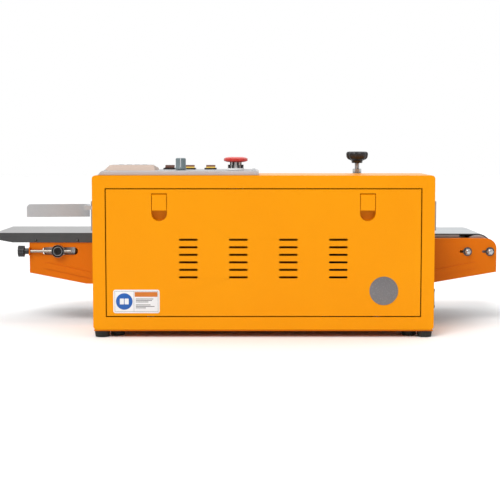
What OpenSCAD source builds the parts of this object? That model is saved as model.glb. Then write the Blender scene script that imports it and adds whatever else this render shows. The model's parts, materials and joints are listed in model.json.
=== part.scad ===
/* [Housing] */
// Left end of the drive housing
housing_left = -237; // [-245:1:-230]
// Length of the housing along the conveyor
housing_w = 537; // [525:1:545]
// Rear face of the housing
housing_rear = -190; // [-200:1:-180]
// Depth of the housing box
housing_d = 140; // [130:1:150]
// Underside of the housing, which is the height of the feet
foot_h = 12; // [8:1:20]
// Top of the housing
housing_top = 255; // [250:1:262]
// Thickness of the housing sheet
sheet = 1.5; // [1:0.1:2]
// Outside radius of the folded housing corners
corner_r = 5.5; // [3:0.5:6]
// Border between the housing edge and the rear door
door_border = 20; // [15:1:30]
// Gap round the rear door
door_gap = 1.7; // [1.2:0.1:2.5]

/* [Conveyor] */
// Left end of the conveyor side frames
frame_left = -366; // [-370:1:-362]
// Right end of the conveyor side frames
frame_right = 429; // [427:1:432]
// Outside face of the rear side frame
frame_rear = -20; // [-21:0.5:-19]
// Outside face of the front side frame
frame_front = 184; // [180:1:186]
// Top edge of the side frames
frame_top = 143.4; // [142:0.2:145]
// Height of the roller axes
roller_z = 122; // [121:0.5:123]
// Radius of the rollers
roller_r = 26.2; // [25.5:0.1:26.3]
// Outside radius of the conveyor belt round a roller
belt_r = 28; // [27.5:0.1:28.5]
// Thickness of the conveyor belt
belt_t = 1.5; // [1:0.1:1.6]
// Width of the conveyor belt
belt_w = 162; // [150:1:164]
// Axis of the idler roller
idler_x = -317; // [-320:1:-314]
// Left end of the sheet under the belt, clear of the idler roller's travel
bed_left = -278; // [-280:1:-276]
// Axis of the drive roller
drive_x = 398.8; // [396:0.2:400]

/* [Sealing head] */
// Height of the line where the two bands meet
seal_z = 183.5; // [182:0.5:185]
// Radius of the band wheels
wheel_r = 20; // [19:0.5:20]
// Thickness of a sealing band
band_t = 0.6; // [0.3:0.1:0.6]
// Width of a sealing band
band_w = 15; // [12:1:15]
// Rear edge of the sealing bands
band_y = -40; // [-40.5:0.5:-39.5]
// Axis of the driven band wheels
driven_x = -60; // [-65:1:-55]
// Axis of the drive band wheels
drive_wheel_x = 252; // [245:1:255]
// Axis of the press wheels
press_x = 189.6; // [186:0.2:192]
// Radius of the press wheels
press_r = 15.7; // [15:0.1:15.8]
// Axis of the small guide pulleys
guide_x = -243.2; // [-244:0.2:-242]
// Radius of the small guide pulleys
guide_r = 10; // [9:0.5:10]

/* [Controls] */
// Centres of the three rocker switches
switch_x = [-122.2, -89.2, -55];
// Depth at which the rocker switches stand
switch_y = -80; // [-85:1:-75]
// Centre of the speed knob along the housing
speed_x = -101.2; // [-106:0.2:-100]
// Depth at which the speed knob stands
speed_y = -130; // [-136:1:-126]
// Centre of the emergency stop along the housing
estop_x = -13; // [-16:1:-10]
// Depth at which the emergency stop stands
estop_y = -120; // [-126:1:-110]
// Diameter of the emergency stop head
estop_d = 39; // [36:0.5:42]
// Diameter of the pressure knob
pressure_knob_d = 36.6; // [34:0.2:38]

/* [Hidden] */
$fn = 48;

housing_right = housing_left + housing_w;
housing_front = housing_rear + housing_d;
door_left = housing_left + door_border;
door_right = housing_right - door_border;
door_bottom = foot_h + door_border;
door_top = housing_top - door_border;
door_mid = (door_left + door_right) / 2;
latch_pitch = 327;
latch_x = [door_mid - latch_pitch / 2, door_mid + latch_pitch / 2];
latch_w = 22.6;
latch_h = 25.7;
latch_z = 213;
latch_gap = 1;
latch_pivot_y = housing_rear + 3;
latch_pivot_z = latch_z + latch_h / 2 - 2;
cup_bottom = 183.5;
hinge_y = housing_rear + 4.1;
hinge_z = door_bottom + 4.5;
hinge_x = [door_left + 70, door_right - 70];
knuckle_r = 2.2;
hinge_pin_r = 1.25;
run_fit = 0.05;
wheel_gap = 0.3;
band_r = wheel_r + wheel_gap + band_t;
wheel_rise = band_r + 0.1;
upper_z = seal_z + wheel_rise;
lower_z = seal_z - wheel_rise;
press_rise = band_t + 0.1 + wheel_gap + press_r;
press_up_z = seal_z + press_rise;
press_low_z = seal_z - press_rise;
shaft_r = 4;
bearing_r = 9.5;
plate_y = housing_front + 4;
guard_y = -24;
guard_t = 1.5;
guide_belt_t = 1.2;
guide_drive_r = wheel_r - 0.7;
guide_rise = guide_r + wheel_gap + guide_belt_t + 0.1;
guide_belt_y = -45.5;
guide_belt_w = 4.7;
bag_gap = 5;
arm_left = -257;
arm_right = 321.5;
arm_low = 159;
arm_high = 208;
head_left = -232;
head_right = 296;
head_low = 137;
head_high = 230;
belt_rear = 0;
belt_front = belt_rear + belt_w;
chain_y = -10.5;
chain_w = 4;
output_x = 250;
output_z = 100;
fan_x = 116;
fan_z = 208;
fan_r = 20;
tension_y = [frame_rear - 3.8, frame_front - 9];
guard_pin_y = plate_y + 2.5;
guard_pin_z = head_high - 1.1;
guard_pin_r = 1;
guard_hinge_x = [head_left + 60, head_right - 50];

// A cylinder whose axis runs along Y
module bar_y(x, z, y0, y1, r) {
    translate([x, y0, z]) rotate([-90, 0, 0]) cylinder(h = y1 - y0, r = r);
}

// A cylinder whose axis runs along X
module bar_x(y, z, x0, x1, r) {
    translate([x0, y, z]) rotate([0, 90, 0]) cylinder(h = x1 - x0, r = r);
}

// An upright cylinder
module bar_z(x, y, z0, z1, r) {
    translate([x, y, z0]) cylinder(h = z1 - z0, r = r);
}

// A box from its lowest to its highest corner
module block(low, high) {
    translate(low) cube(high - low);
}

// A drawing in X and Z, pulled along Y
module slab_y(y0, y1) {
    translate([0, y1, 0]) rotate([90, 0, 0]) linear_extrude(y1 - y0) children();
}

// A drawing in Y and Z, pulled along X
module slab_x(x0, x1) {
    translate([x0, 0, 0]) rotate([90, 0, 90]) linear_extrude(x1 - x0) children();
}

// A rectangle with round corners
module round_rect(low, high, r) {
    for (x = [low.x + r, high.x - r], y = [low.y + r, high.y - r])
        translate([x, y]) circle(r);
    translate([low.x + r, low.y]) square([high.x - low.x - 2 * r, high.y - low.y]);
    translate([low.x, low.y + r]) square([high.x - low.x, high.y - low.y - 2 * r]);
}

// A shape with two round ends on a level line
module stadium(x0, x1, z, r) {
    for (x = [x0, x1]) translate([x, z]) circle(r);
    translate([x0, z - r]) square([x1 - x0, 2 * r]);
}

// A belt that runs round two equal wheels
module level_belt(x0, x1, z, r, t) {
    difference() {
        stadium(x0, x1, z, r);
        stadium(x0, x1, z, r - t);
    }
}

// A belt that runs round two wheels of different size
module sloped_belt(a, ra, b, rb, t) {
    difference() {
        hull() {
            translate(a) circle(ra + t);
            translate(b) circle(rb + t);
        }
        hull() {
            translate(a) circle(ra);
            translate(b) circle(rb);
        }
    }
}

// A flat gear with straight-sided teeth; the first tooth points up when turned by zero
module gear_outline(teeth, pitch_r, turn) {
    addendum = 0.75;
    root_r = pitch_r - 1.15;
    tip_half = 0.35;
    root_half = 0.85;
    circle(root_r);
    for (i = [0 : teeth - 1]) rotate(90 + turn + i * 360 / teeth)
        polygon([[root_r - 0.5, -root_half], [pitch_r + addendum, -tip_half],
                 [pitch_r + addendum, tip_half], [root_r - 0.5, root_half]]);
}

// A pointed sprocket for a roller chain
module sprocket_outline(teeth, tip_r) {
    root_r = tip_r - 2.4;
    circle(root_r);
    for (i = [0 : teeth - 1]) rotate(i * 360 / teeth)
        polygon([[root_r - 0.5, -1.7], [tip_r, -0.4], [tip_r, 0.4], [root_r - 0.5, 1.7]]);
}

// ---- Housing ----

module switch_hole(x) {
    block([x - switch_half - 0.2, switch_y - 10, housing_top - 5],
          [x + switch_half + 0.2, switch_y + 10, housing_top + 20]);
}

module control_holes(r_extra) {
    for (x = switch_x) switch_hole(x);
    bar_z(speed_x, speed_y, housing_top - 5, housing_top + 20, 5 + r_extra);
    bar_z(estop_x, estop_y, housing_top - 5, housing_top + 20, 11 + r_extra);
}

module housing_shell() {
    color("orange") difference() {
        slab_y(housing_rear + sheet, housing_front - sheet) difference() {
            round_rect([housing_left, foot_h], [housing_right, housing_top], corner_r);
            round_rect([housing_left + sheet, foot_h - 20],
                       [housing_right - sheet, housing_top - sheet], corner_r - sheet);
        }
        control_holes(0);
        block([housing_right - 5, inlet_y - inlet_half, inlet_z - inlet_tall],
              [housing_right + 5, inlet_y + inlet_half, inlet_z + inlet_tall]);
        for (i = [0 : 7]) let (y = housing_rear + 40 + i * 10)
            block([housing_right - 5, y, 180], [housing_right + 5, y + 4, 215]);
    }
}

inlet_y = -155;
inlet_z = 60;
inlet_half = 13.5;
inlet_tall = 10;

module rear_frame() {
    color("orange") slab_y(housing_rear, housing_rear + sheet) difference() {
        round_rect([housing_left, foot_h], [housing_right, housing_top], corner_r);
        translate([door_left, door_bottom])
            square([door_right - door_left, door_top - door_bottom]);
    }
}

module front_panel() {
    color("orange") difference() {
        slab_y(housing_front - sheet, housing_front) difference() {
            round_rect([housing_left, foot_h], [housing_right, housing_top], corner_r);
            translate([fan_x, fan_z]) circle(fan_r + 1);
            translate([output_x, output_z]) circle(6);
        }
        shaft_holes();
    }
}

module shaft_holes() {
    for (x = [driven_x, drive_wheel_x], z = [upper_z, lower_z])
        bar_y(x, z, housing_front - 3, plate_y + 1, bearing_r);
    bar_y(press_x, press_low_z, housing_front - 3, plate_y + 1, bearing_r);
    for (z = [seal_z - guide_rise, seal_z + guide_rise])
        bar_y(guide_x, z, housing_front - 3, plate_y + 1, guide_hole_r);
}

guide_hole_r = 6;
pan_front = 65;
pan_t = 2;
pan_top = foot_h - 0.3;

module base_pan() {
    pan_low = pan_top - pan_t;
    color("darkorange") {
        difference() {
            block([housing_left + 1, housing_rear + 1, pan_low],
                  [housing_right - 1, pan_front, pan_top]);
            for (i = [0 : 9], y = [-150, -110])
                block([-150 + i * 30, y, pan_low - 1], [-130 + i * 30, y + 5, foot_h + 1]);
        }
        for (x = [housing_left + sheet + 0.3, housing_right - 2 * sheet - 0.3])
            block([x, housing_rear + 20, pan_low], [x + sheet, housing_front - 5, foot_h + 14]);
        block([housing_left + 1, pan_front - 1.5, pan_low],
              [housing_right - 1, pan_front, foot_h + 12]);
    }
}

// Outline of a latch opening: square at the paddle, with a round scoop for the fingers below it
module latch_outline(x, half) {
    scoop_z = cup_bottom + latch_w / 2 + latch_gap;
    translate([x, scoop_z]) circle(half);
    translate([x - half, scoop_z])
        square([2 * half, latch_top + half - latch_w / 2 - scoop_z]);
}

// The cup behind a latch, which the paddle lies in
module latch_cup(x) {
    slab_y(housing_rear + 0.3, housing_rear + cup_d) latch_outline(x, latch_w / 2 + latch_gap + cup_t);
}

module latch_hollow(x) {
    slab_y(housing_rear - 5, housing_rear + cup_d - cup_t) latch_outline(x, latch_w / 2 + latch_gap);
    bar_x(latch_pivot_y, latch_pivot_z, x - latch_w, x + latch_w, latch_pin_r + run_fit);
}

latch_top = latch_z + latch_h / 2;
latch_pin_r = 1.2;
cup_t = 1.2;
cup_d = 15;

module vent_slots() {
    vent_pitch_x = 78.5;
    vent_pitch_z = 11.85;
    vent_half = 12.9;
    vent_r = 1.7;
    vent_low = 95;
    for (col = [0 : 3], row = [0 : 5])
        let (x = -86.5 + col * vent_pitch_x, z = vent_low + row * vent_pitch_z)
            stadium(x - vent_half, x + vent_half, z, vent_r);
}

module rear_door() {
    flange = 12;
    low = door_bottom + door_gap;
    high = door_top - door_gap;
    color("orange") difference() {
        union() {
            slab_y(housing_rear, housing_rear + sheet) difference() {
                translate([door_left + door_gap, low])
                    square([door_right - door_left - 2 * door_gap, high - low]);
                vent_slots();
                translate([plug_x, plug_z]) circle(20.5);
            }
            for (x = [door_left + door_gap, door_right - door_gap - sheet])
                block([x, housing_rear, low + 12], [x + sheet, housing_rear + flange, high - 6]);
            for (run = [[door_left + 30, latch_x[0] - 30], [latch_x[0] + 30, latch_x[1] - 30]])
                block([run[0], housing_rear, high - sheet], [run[1], housing_rear + flange, high]);
            for (x = latch_x) latch_cup(x);
            for (x = hinge_x, side = [-1, 1]) door_knuckle(x + side * 14);
        }
        for (x = latch_x) latch_hollow(x);
        for (x = hinge_x, side = [-1, 1])
            bar_x(hinge_y, hinge_z, x + side * 14 - 9, x + side * 14 + 9, hinge_pin_r + run_fit);
    }
}

module door_knuckle(x) {
    bar_x(hinge_y, hinge_z, x - 8, x + 8, knuckle_r);
    block([x - 8, housing_rear + sheet - 0.5, hinge_z - 0.2], [x + 8, hinge_y, hinge_z + knuckle_r]);
}

module door_hinges() {
    reach = 6.5;
    leg_low = 20;
    color("silver") for (x = hinge_x) {
        bar_x(hinge_y, hinge_z, x - 24, x + 24, hinge_pin_r);
        difference() {
            union() {
                bar_x(hinge_y, hinge_z, x - 5.5, x + 5.5, knuckle_r);
                block([x - 5.5, hinge_y, hinge_z - 0.7], [x + 5.5, hinge_y + reach, hinge_z + 0.7]);
            }
            bar_x(hinge_y, hinge_z, x - 6, x + 6, hinge_pin_r);
        }
        block([x - 5.5, hinge_y + reach - 1.3, leg_low], [x + 5.5, hinge_y + reach, hinge_z + 0.7]);
        block([x - 12, housing_rear + sheet, leg_low - 1.3], [x + 12, hinge_y + reach, leg_low]);
        block([x - 12, housing_rear + sheet, leg_low - 1.3],
              [x + 12, housing_rear + sheet + 1.3, door_bottom - 2]);
    }
}

module latch(x) {
    paddle_t = 2.5;
    chamfer = 2;
    half = latch_w / 2;
    latch_low = latch_z - latch_h / 2;
    pin_half = half + latch_gap + 0.8;
    face = housing_rear;
    color("orange") {
        slab_x(x - half, x + half) polygon([
            [face, latch_low], [face + paddle_t, latch_low], [face + paddle_t, latch_top],
            [face + chamfer, latch_top], [face, latch_top - chamfer]]);
        bar_x(latch_pivot_y, latch_pivot_z, x - pin_half, x + pin_half, latch_pin_r);
        block([x - 7, face + paddle_t - 0.5, latch_pivot_z - 14],
              [x + 7, face + paddle_t + 1.5, latch_pivot_z + 1]);
    }
}

module latch_left() {
    latch(latch_x[0]);
}

module latch_right() {
    latch(latch_x[1]);
}

plug_x = 220.8;
plug_z = 73.6;

module hole_plug() {
    cap_r = 22.5;
    dome_h = 1.6;
    edge_h = 0.5;
    steps = 8;
    color("dimgray") {
        translate([plug_x, housing_rear, plug_z]) rotate([90, 0, 0]) rotate_extrude() polygon(concat(
            [[0, 0], [cap_r, 0]],
            [for (i = [0 : steps]) let (r = cap_r * (1 - i / steps))
                [r, edge_h + (dome_h - edge_h) * (1 - pow(r / cap_r, 2))]]));
        difference() {
            bar_y(plug_x, plug_z, housing_rear - 0.1, housing_rear + 6, 20.3);
            bar_y(plug_x, plug_z, housing_rear + 1.5, housing_rear + 7, 18.3);
        }
    }
}

module power_inlet() {
    flange = [23, 16];
    color("black") {
        difference() {
            union() {
                block([housing_right, inlet_y - flange[0], inlet_z - flange[1]],
                      [housing_right + 2.5, inlet_y + flange[0], inlet_z + flange[1]]);
                block([housing_right - 24, inlet_y - inlet_half, inlet_z - inlet_tall],
                      [housing_right + 1, inlet_y + inlet_half, inlet_z + inlet_tall]);
            }
            block([housing_right - 16, inlet_y - inlet_half + 2, inlet_z - inlet_tall + 2],
                  [housing_right + 3, inlet_y + inlet_half - 2, inlet_z + inlet_tall - 2]);
        }
        for (i = [-1 : 1])
            block([housing_right - 17, inlet_y + i * 7 - 1, inlet_z - 2 + 2 * (1 - abs(i)) - 2],
                  [housing_right - 4, inlet_y + i * 7 + 1, inlet_z + 2 + 2 * (1 - abs(i)) - 2]);
    }
}

module rubber_feet() {
    spots = [[-224, -177], [-201, -162], [287, -177], [264, -162], [-224, 50], [287, 50]];
    color("black") for (p = spots) translate([p.x, p.y, 0]) difference() {
        cylinder(h = pan_top - pan_t, r1 = 11, r2 = 12.3);
        translate([0, 0, -1]) cylinder(h = 5, r = 4);
    }
}

// ---- Controls ----

panel_t = 7;
panel_top = housing_top + panel_t;

module control_panel() {
    panel_left = housing_left + 8;
    panel_right = 24;
    panel_rear = housing_rear + 6;
    panel_front = housing_front - 6;
    slope = 6;
    color("gainsboro") difference() {
        slab_y(panel_rear, panel_front) polygon([
            [panel_left, housing_top], [panel_left + slope, panel_top], [panel_right - 2, panel_top],
            [panel_right, panel_top - 2], [panel_right, housing_top]]);
        control_holes(0.2);
    }
}

controller_left = -221;
controller_right = -140;

module temperature_controller() {
    box_rear = -165;
    box_front = -75;
    rise = 8.5;
    color("tan") intersection() {
        slab_x(controller_left, controller_right) polygon([
            [box_rear, panel_top], [box_rear + 5, panel_top + rise], [box_rear + 22, panel_top + rise],
            [box_front, panel_top + 3], [box_front, panel_top]]);
        slab_y(box_rear, box_front) polygon([
            [controller_left, panel_top], [controller_left + 9, panel_top + rise],
            [controller_right - 3, panel_top + rise], [controller_right, panel_top]]);
    }
}

module speed_knob() {
    knob_r = 8.75;
    knob_h = 19;
    chamfer = 1.6;
    shaft_deep = 12;
    color("slategray") translate([speed_x, speed_y, panel_top + 0.4]) rotate_extrude() polygon([
        [0, -shaft_deep], [2.95, -shaft_deep], [2.95, 0], [knob_r, 0],
        [knob_r, knob_h - chamfer], [knob_r - chamfer, knob_h], [0, knob_h]]);
    color("white") block([speed_x - 0.6, speed_y - knob_r - 0.3, panel_top + 3],
                         [speed_x + 0.6, speed_y - knob_r + 1, panel_top + knob_h - 1]);
}

module speed_pot() {
    difference() {
        union() {
            bar_z(speed_x, speed_y, panel_top - 30, panel_top - 16, 8.5);
            bar_z(speed_x, speed_y, panel_top - 16, panel_top - 0.2, 4.8);
        }
        bar_z(speed_x, speed_y, panel_top - 12.5, panel_top + 1, 3);
    }
}

rocker_half = 7.6;
switch_half = rocker_half + 1.3;
rocker_long = 8;
bezel_top = panel_top + 2.6;

module rocker(x) {
    axle_z = panel_top - 1;
    color("orange") translate([x, switch_y, axle_z]) rotate([90, 0, 90])
        translate([0, 0, -rocker_half]) linear_extrude(2 * rocker_half) polygon([
            [-rocker_long, 0.8], [-rocker_long, 4.4], [0, 4], [rocker_long - 0.4, 8.2], [rocker_long, 3.6],
            [2.5, -2.2], [-2.5, -2.2]]);
    color("orange") bar_x(switch_y, axle_z, x - rocker_half - 0.7, x + rocker_half + 0.7, 1);
}

module power_switch() {
    rocker(switch_x[0]);
}

module heat_switch() {
    rocker(switch_x[1]);
}

module fan_switch() {
    rocker(switch_x[2]);
}

module control_bodies() {
    bezel_half = 9.8;
    bezel_long = 13;
    body_deep = 18;
    color("black") speed_pot();
    color("black") for (x = switch_x) difference() {
        union() {
            block([x - bezel_half, switch_y - bezel_long, panel_top],
                  [x + bezel_half, switch_y + bezel_long, bezel_top]);
            block([x - switch_half, switch_y - 9.8, panel_top - body_deep],
                  [x + switch_half, switch_y + 9.8, panel_top + 1]);
        }
        block([x - rocker_half - 0.3, switch_y - rocker_long - 1.4, panel_top - 6],
              [x + rocker_half + 0.3, switch_y + rocker_long + 1.4, bezel_top + 1]);
        bar_x(switch_y, panel_top - 1, x - rocker_half - 0.9, x + rocker_half + 0.9, 1 + run_fit);
    }
}

stem_r = 9;

module estop_base() {
    color("gainsboro") difference() {
        union() {
            bar_z(estop_x, estop_y, panel_top, panel_top + 3, 13.75);
            bar_z(estop_x, estop_y, panel_top - 30, panel_top + 1, 10.8);
            for (i = [0 : 7]) translate([estop_x, estop_y, panel_top + 2.5]) rotate(22.5 + i * 45)
                translate([stem_r + 0.8, -1.5, 0]) cube([3.2, 3, 6]);
            block([estop_x - 13, estop_y - 13, panel_top - 52],
                  [estop_x + 13, estop_y + 13, panel_top - 29]);
        }
        bar_z(estop_x, estop_y, panel_top - 24, panel_top + 4, stem_r + run_fit);
    }
}

neck_r = 4;
neck_top = panel_top + 17;

module estop_stem() {
    color("dimgray") {
        bar_z(estop_x, estop_y, panel_top - 16, panel_top + 12.5, stem_r);
        bar_z(estop_x, estop_y, panel_top + 12, neck_top, neck_r);
    }
}

module estop_head() {
    head_r = estop_d / 2;
    skirt = panel_top + 12.8;
    crown = panel_top + 21;
    bore_r = neck_r + run_fit;
    color("red") translate([estop_x, estop_y, 0]) rotate_extrude() polygon([
        [0, neck_top + 0.3], [bore_r, neck_top + 0.3], [bore_r, skirt], [head_r - 6, skirt],
        [head_r - 1, skirt + 1.5], [head_r, skirt + 2.5], [head_r - 0.4, crown - 2.4],
        [head_r - 3, crown - 1], [head_r - 8, crown], [0, crown]]);
}

// ---- Pressure unit ----

rod_r = 4.2;
rod_x = press_x;
rod_y = band_y + band_w / 2;
shelf_z = 250;
shelf_t = 4;

module pressure_knob() {
    knob_low = 276;
    knob_high = rod_high;
    lobes = 6;
    knob_r = pressure_knob_d / 2;
    color("black") difference() {
        union() {
            bar_z(rod_x, rod_y, knob_low - 4.2, knob_low, 9.2);
            translate([rod_x, rod_y, knob_low]) linear_extrude(knob_high - knob_low) difference() {
                circle(knob_r);
                for (i = [0 : lobes - 1]) rotate(30 + i * 360 / lobes)
                    translate([knob_r + 3.6, 0]) circle(7);
            }
        }
        bar_z(rod_x, rod_y, knob_low - 5, knob_high + 1, rod_r);
    }
    color("silver") bar_z(rod_x, rod_y, rod_low, rod_high, rod_r);
}

rod_low = head_high + 3.4;
rod_high = 291;

module pressure_bracket() {
    color("silver") {
        difference() {
            union() {
                block([rod_x - 22, housing_front, shelf_z], [rod_x + 22, rod_y + 13, shelf_z + shelf_t]);
                block([rod_x - 22, housing_front, head_high + 3],
                      [rod_x + 22, housing_front + 3, shelf_z + shelf_t]);
                translate([rod_x, rod_y, shelf_z + shelf_t]) cylinder(h = 3.5, r = 7.25);
            }
            bar_z(rod_x, rod_y, shelf_z - 1, shelf_z + shelf_t + 5, rod_r + run_fit);
        }
    }
}

spring_r = 5.6;
wire_r = 0.6;

module pressure_spring() {
    coils = 5;
    low = carriage_top + wire_r;
    high = shelf_z - 2.6;
    steps = 14;
    rise = (high - low) / (coils * steps);
    color("silver") for (i = [0 : coils * steps - 1])
        translate([rod_x, rod_y, low + i * rise]) rotate(i * 360 / steps)
            translate([spring_r, 0, 0]) rotate([-86, 0, 0])
                translate([0, 0, -1.4]) cylinder(h = 2.8, r = wire_r, $fn = 6);
}

carriage_top = head_high + 1;

module press_carriage() {
    back = [band_y - 5, band_y - 1];
    color("silver") {
        block([rod_x - 8, back[0], press_up_z - 10], [rod_x + 8, back[1], carriage_top]);
        block([rod_x - 8, back[0], carriage_top - 3.5], [rod_x + 8, rod_y + 8, carriage_top]);
        bar_y(press_x, press_up_z, back[1] - 1, band_y + band_w - 1, shaft_r - 1);
    }
}

// A press wheel with raised rings round its rim
module press_roll(z, rear) {
    groove = 0.5;
    color("dimgray") difference() {
        union() {
            bar_y(press_x, z, band_y + 0.5, band_y + band_w, press_r);
            bar_y(press_x, z, rear, band_y + 0.6, 6);
        }
        for (i = [0 : 3]) slab_y(band_y + 3 + i * 3, band_y + 4 + i * 3) difference() {
            translate([press_x, z]) circle(press_r + 1);
            translate([press_x, z]) circle(press_r - groove);
        }
    }
}

module upper_press_wheel() {
    difference() {
        press_roll(press_up_z, band_y - 0.6);
        bar_y(press_x, press_up_z, band_y - 2, band_y + band_w + 1, shaft_r - 1 + run_fit);
    }
}

module lower_press_wheel() {
    press_roll(press_low_z, band_y - 1);
    color("silver") bar_y(press_x, press_low_z, housing_front - 8, band_y + 1, shaft_r);
}

// ---- Conveyor ----

web_t = 2;
lip = 15;
rise_left = 85;
flat_low = 66;
end_r = 17.5;

// Outline of a side frame: flat below, rising to both ends, round at the top right
module side_outline() {
    difference() {
        polygon([[frame_left, rise_left], [-270, flat_low], [310, flat_low],
                 [frame_right, rise_left + 1.4], [frame_right, frame_top], [frame_left, frame_top]]);
        translate([frame_right - end_r, frame_top - end_r]) difference() {
            square(end_r + 1);
            circle(end_r);
        }
        stadium(-338, -290, roller_z, slot_r);
        for (x = bolt_x) stadium(x - 11, x, roller_z - 1, 2.2);
    }
}

slot_r = 6.5;
bolt_x = [379.7, 417.8];

module side_frame(y0, y1, lip0, lip1) {
    slab_y(y0, y1) side_outline();
    block([frame_left, lip0, frame_top - web_t], [frame_right - end_r, lip1, frame_top]);
    block([frame_left, lip0, rise_left], [frame_left + web_t, lip1, frame_top]);
    block([-270, lip0, flat_low], [310, lip1, flat_low + web_t]);
}

// Pressed stiffening ribs in the sloping ends of a side frame
module frame_ribs(y0, y1) {
    rib_w = 5;
    slab_y(y0, y1) for (run = [[[311, 82], [391, 98]], [[-259, 80], [-337, 97]]])
        let (d = run[1] - run[0], angle = atan2(d.y, d.x))
            translate(run[0]) rotate(angle) stadium(0, norm(d), 0, rib_w);
}

module conveyor_side_rear() {
    color("darkorange") difference() {
        union() {
            side_frame(frame_rear, frame_rear + web_t, frame_rear, frame_rear + lip);
            frame_ribs(frame_rear - 1.2, frame_rear + 0.5);
            block([frame_left, tension_y[0] - 3.9, roller_z - 7],
                  [frame_left + web_t, frame_rear + 0.5, roller_z + 7]);
        }
        bar_x(tension_y[0], roller_z, frame_left - 1, frame_left + 4, 2.7);
        bar_y(output_x, output_z, frame_rear - 2, frame_rear + 3, 6);
    }
}

module conveyor_side_front() {
    color("darkorange") difference() {
        union() {
            side_frame(frame_front - web_t, frame_front, frame_front - lip, frame_front);
            frame_ribs(frame_front - 0.5, frame_front + 1.2);
        }
        bar_x(tension_y[1], roller_z, frame_left - 1, frame_left + 4, 2.7);
    }
}

module conveyor_bed() {
    bed_top = roller_z + belt_r - belt_t - 0.4;
    color("silver") {
        block([bed_left, belt_rear + 2, bed_top - 1.5], [368, belt_front - 2, bed_top]);
        for (y = [belt_rear + 2, belt_front - 3.5])
            block([bed_left, y, bed_top - 24], [368, y + 1.5, bed_top]);
        for (x = [-230, 0, 210])
            bar_y(x, bed_top - 19, frame_rear + web_t, frame_front - web_t, 4);
    }
}

module conveyor_belt() {
    color("whitesmoke") slab_y(belt_rear, belt_front)
        level_belt(idler_x, drive_x, roller_z, belt_r, belt_t);
}

module conveyor_supports() {
    beam_low = flat_low + web_t;
    color("darkorange") for (x = [-160, 190]) {
        block([x, frame_rear + web_t, beam_low], [x + 22, frame_front - web_t, beam_low + 12]);
        block([x, 20, pan_top], [x + 22, 58, beam_low]);
    }
}

module drive_roller() {
    color("silver") {
        bar_y(drive_x, roller_z, belt_rear - 2, belt_front + 2, roller_r);
        bar_y(drive_x, roller_z, frame_rear + web_t + 1, frame_front - web_t - 1, 6);
        slab_y(chain_y + 0.4, chain_y + chain_w - 0.4)
            translate([drive_x, roller_z]) sprocket_outline(18, 13.6);
    }
}

module roller_bearings() {
    color("dimgray") for (y = [frame_rear + web_t, frame_front - web_t - 6]) difference() {
        block([drive_x - 25, y, roller_z - 11], [drive_x + 25, y + 6, roller_z + 11]);
        bar_y(drive_x, roller_z, y - 1, y + 7, 6 + run_fit);
        for (x = bolt_x) bar_y(x, roller_z - 1, y - 1, y + 7, 2);
    }
}

module roller_bolts() {
    color("silver") for (x = bolt_x, side = [0, 1]) {
        face = side == 0 ? frame_rear : frame_front;
        out = side == 0 ? -1 : 1;
        washer = [face, face + out * 2];
        head = [face + out * 2, face + out * 7.6];
        bar_y(x, roller_z - 1, min(washer), max(washer), 7.5);
        slab_y(min(head), max(head)) translate([x, roller_z - 1]) circle(5.2, $fn = 6);
        bar_y(x, roller_z - 1, min(face, face - out * 8), max(face, face - out * 8), 1.95);
    }
}

axle_r = 6.8;

module idler_roller() {
    color("silver") difference() {
        bar_y(idler_x, roller_z, belt_rear - 2, belt_front + 2, roller_r);
        bar_y(idler_x, roller_z, belt_rear - 3, belt_front + 3, axle_r + run_fit);
    }
}

module tension_axle() {
    ring_r = 10.7;
    flat_half = 6.2;
    color("silver") difference() {
        union() {
            bar_y(idler_x, roller_z, frame_rear - 4, frame_front + 4, axle_r - 0.6);
            bar_y(idler_x, roller_z, frame_rear + 5, frame_front - 5, axle_r);
            for (y = [[frame_rear - 7.6, frame_rear - 0.3], [frame_front + 0.3, frame_front + 4.5]])
                bar_y(idler_x, roller_z, y[0], y[1], ring_r);
            for (y = [[frame_rear - 0.4, frame_rear + 4], [frame_front - 4, frame_front + 0.4]])
                block([idler_x - 10, y[0], roller_z - flat_half],
                      [idler_x + 10, y[1], roller_z + flat_half]);
        }
        for (y = tension_y) bar_x(y, roller_z, idler_x - 12, idler_x + 12, 2.5 + run_fit);
    }
}

module tension_screw(y) {
    color("silver") bar_x(y, roller_z, frame_left - 10, idler_x + 22, 2.5);
    color("black") difference() {
        union() {
            bar_x(y, roller_z, frame_left - 18, frame_left - 8, 9.5);
            bar_x(y, roller_z, frame_left - 8.1, frame_left - 0.3, 5);
        }
        for (i = [0 : 11]) translate([0, y, roller_z]) rotate([i * 30, 0, 0])
            bar_x(10.2, 0, frame_left - 19, frame_left - 8.6, 1.4);
    }
}

module tension_screw_rear() {
    tension_screw(tension_y[0]);
}

module tension_screw_front() {
    tension_screw(tension_y[1]);
}

tray_top = 153;
tray_left = -424;
tray_right = -256;

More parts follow.
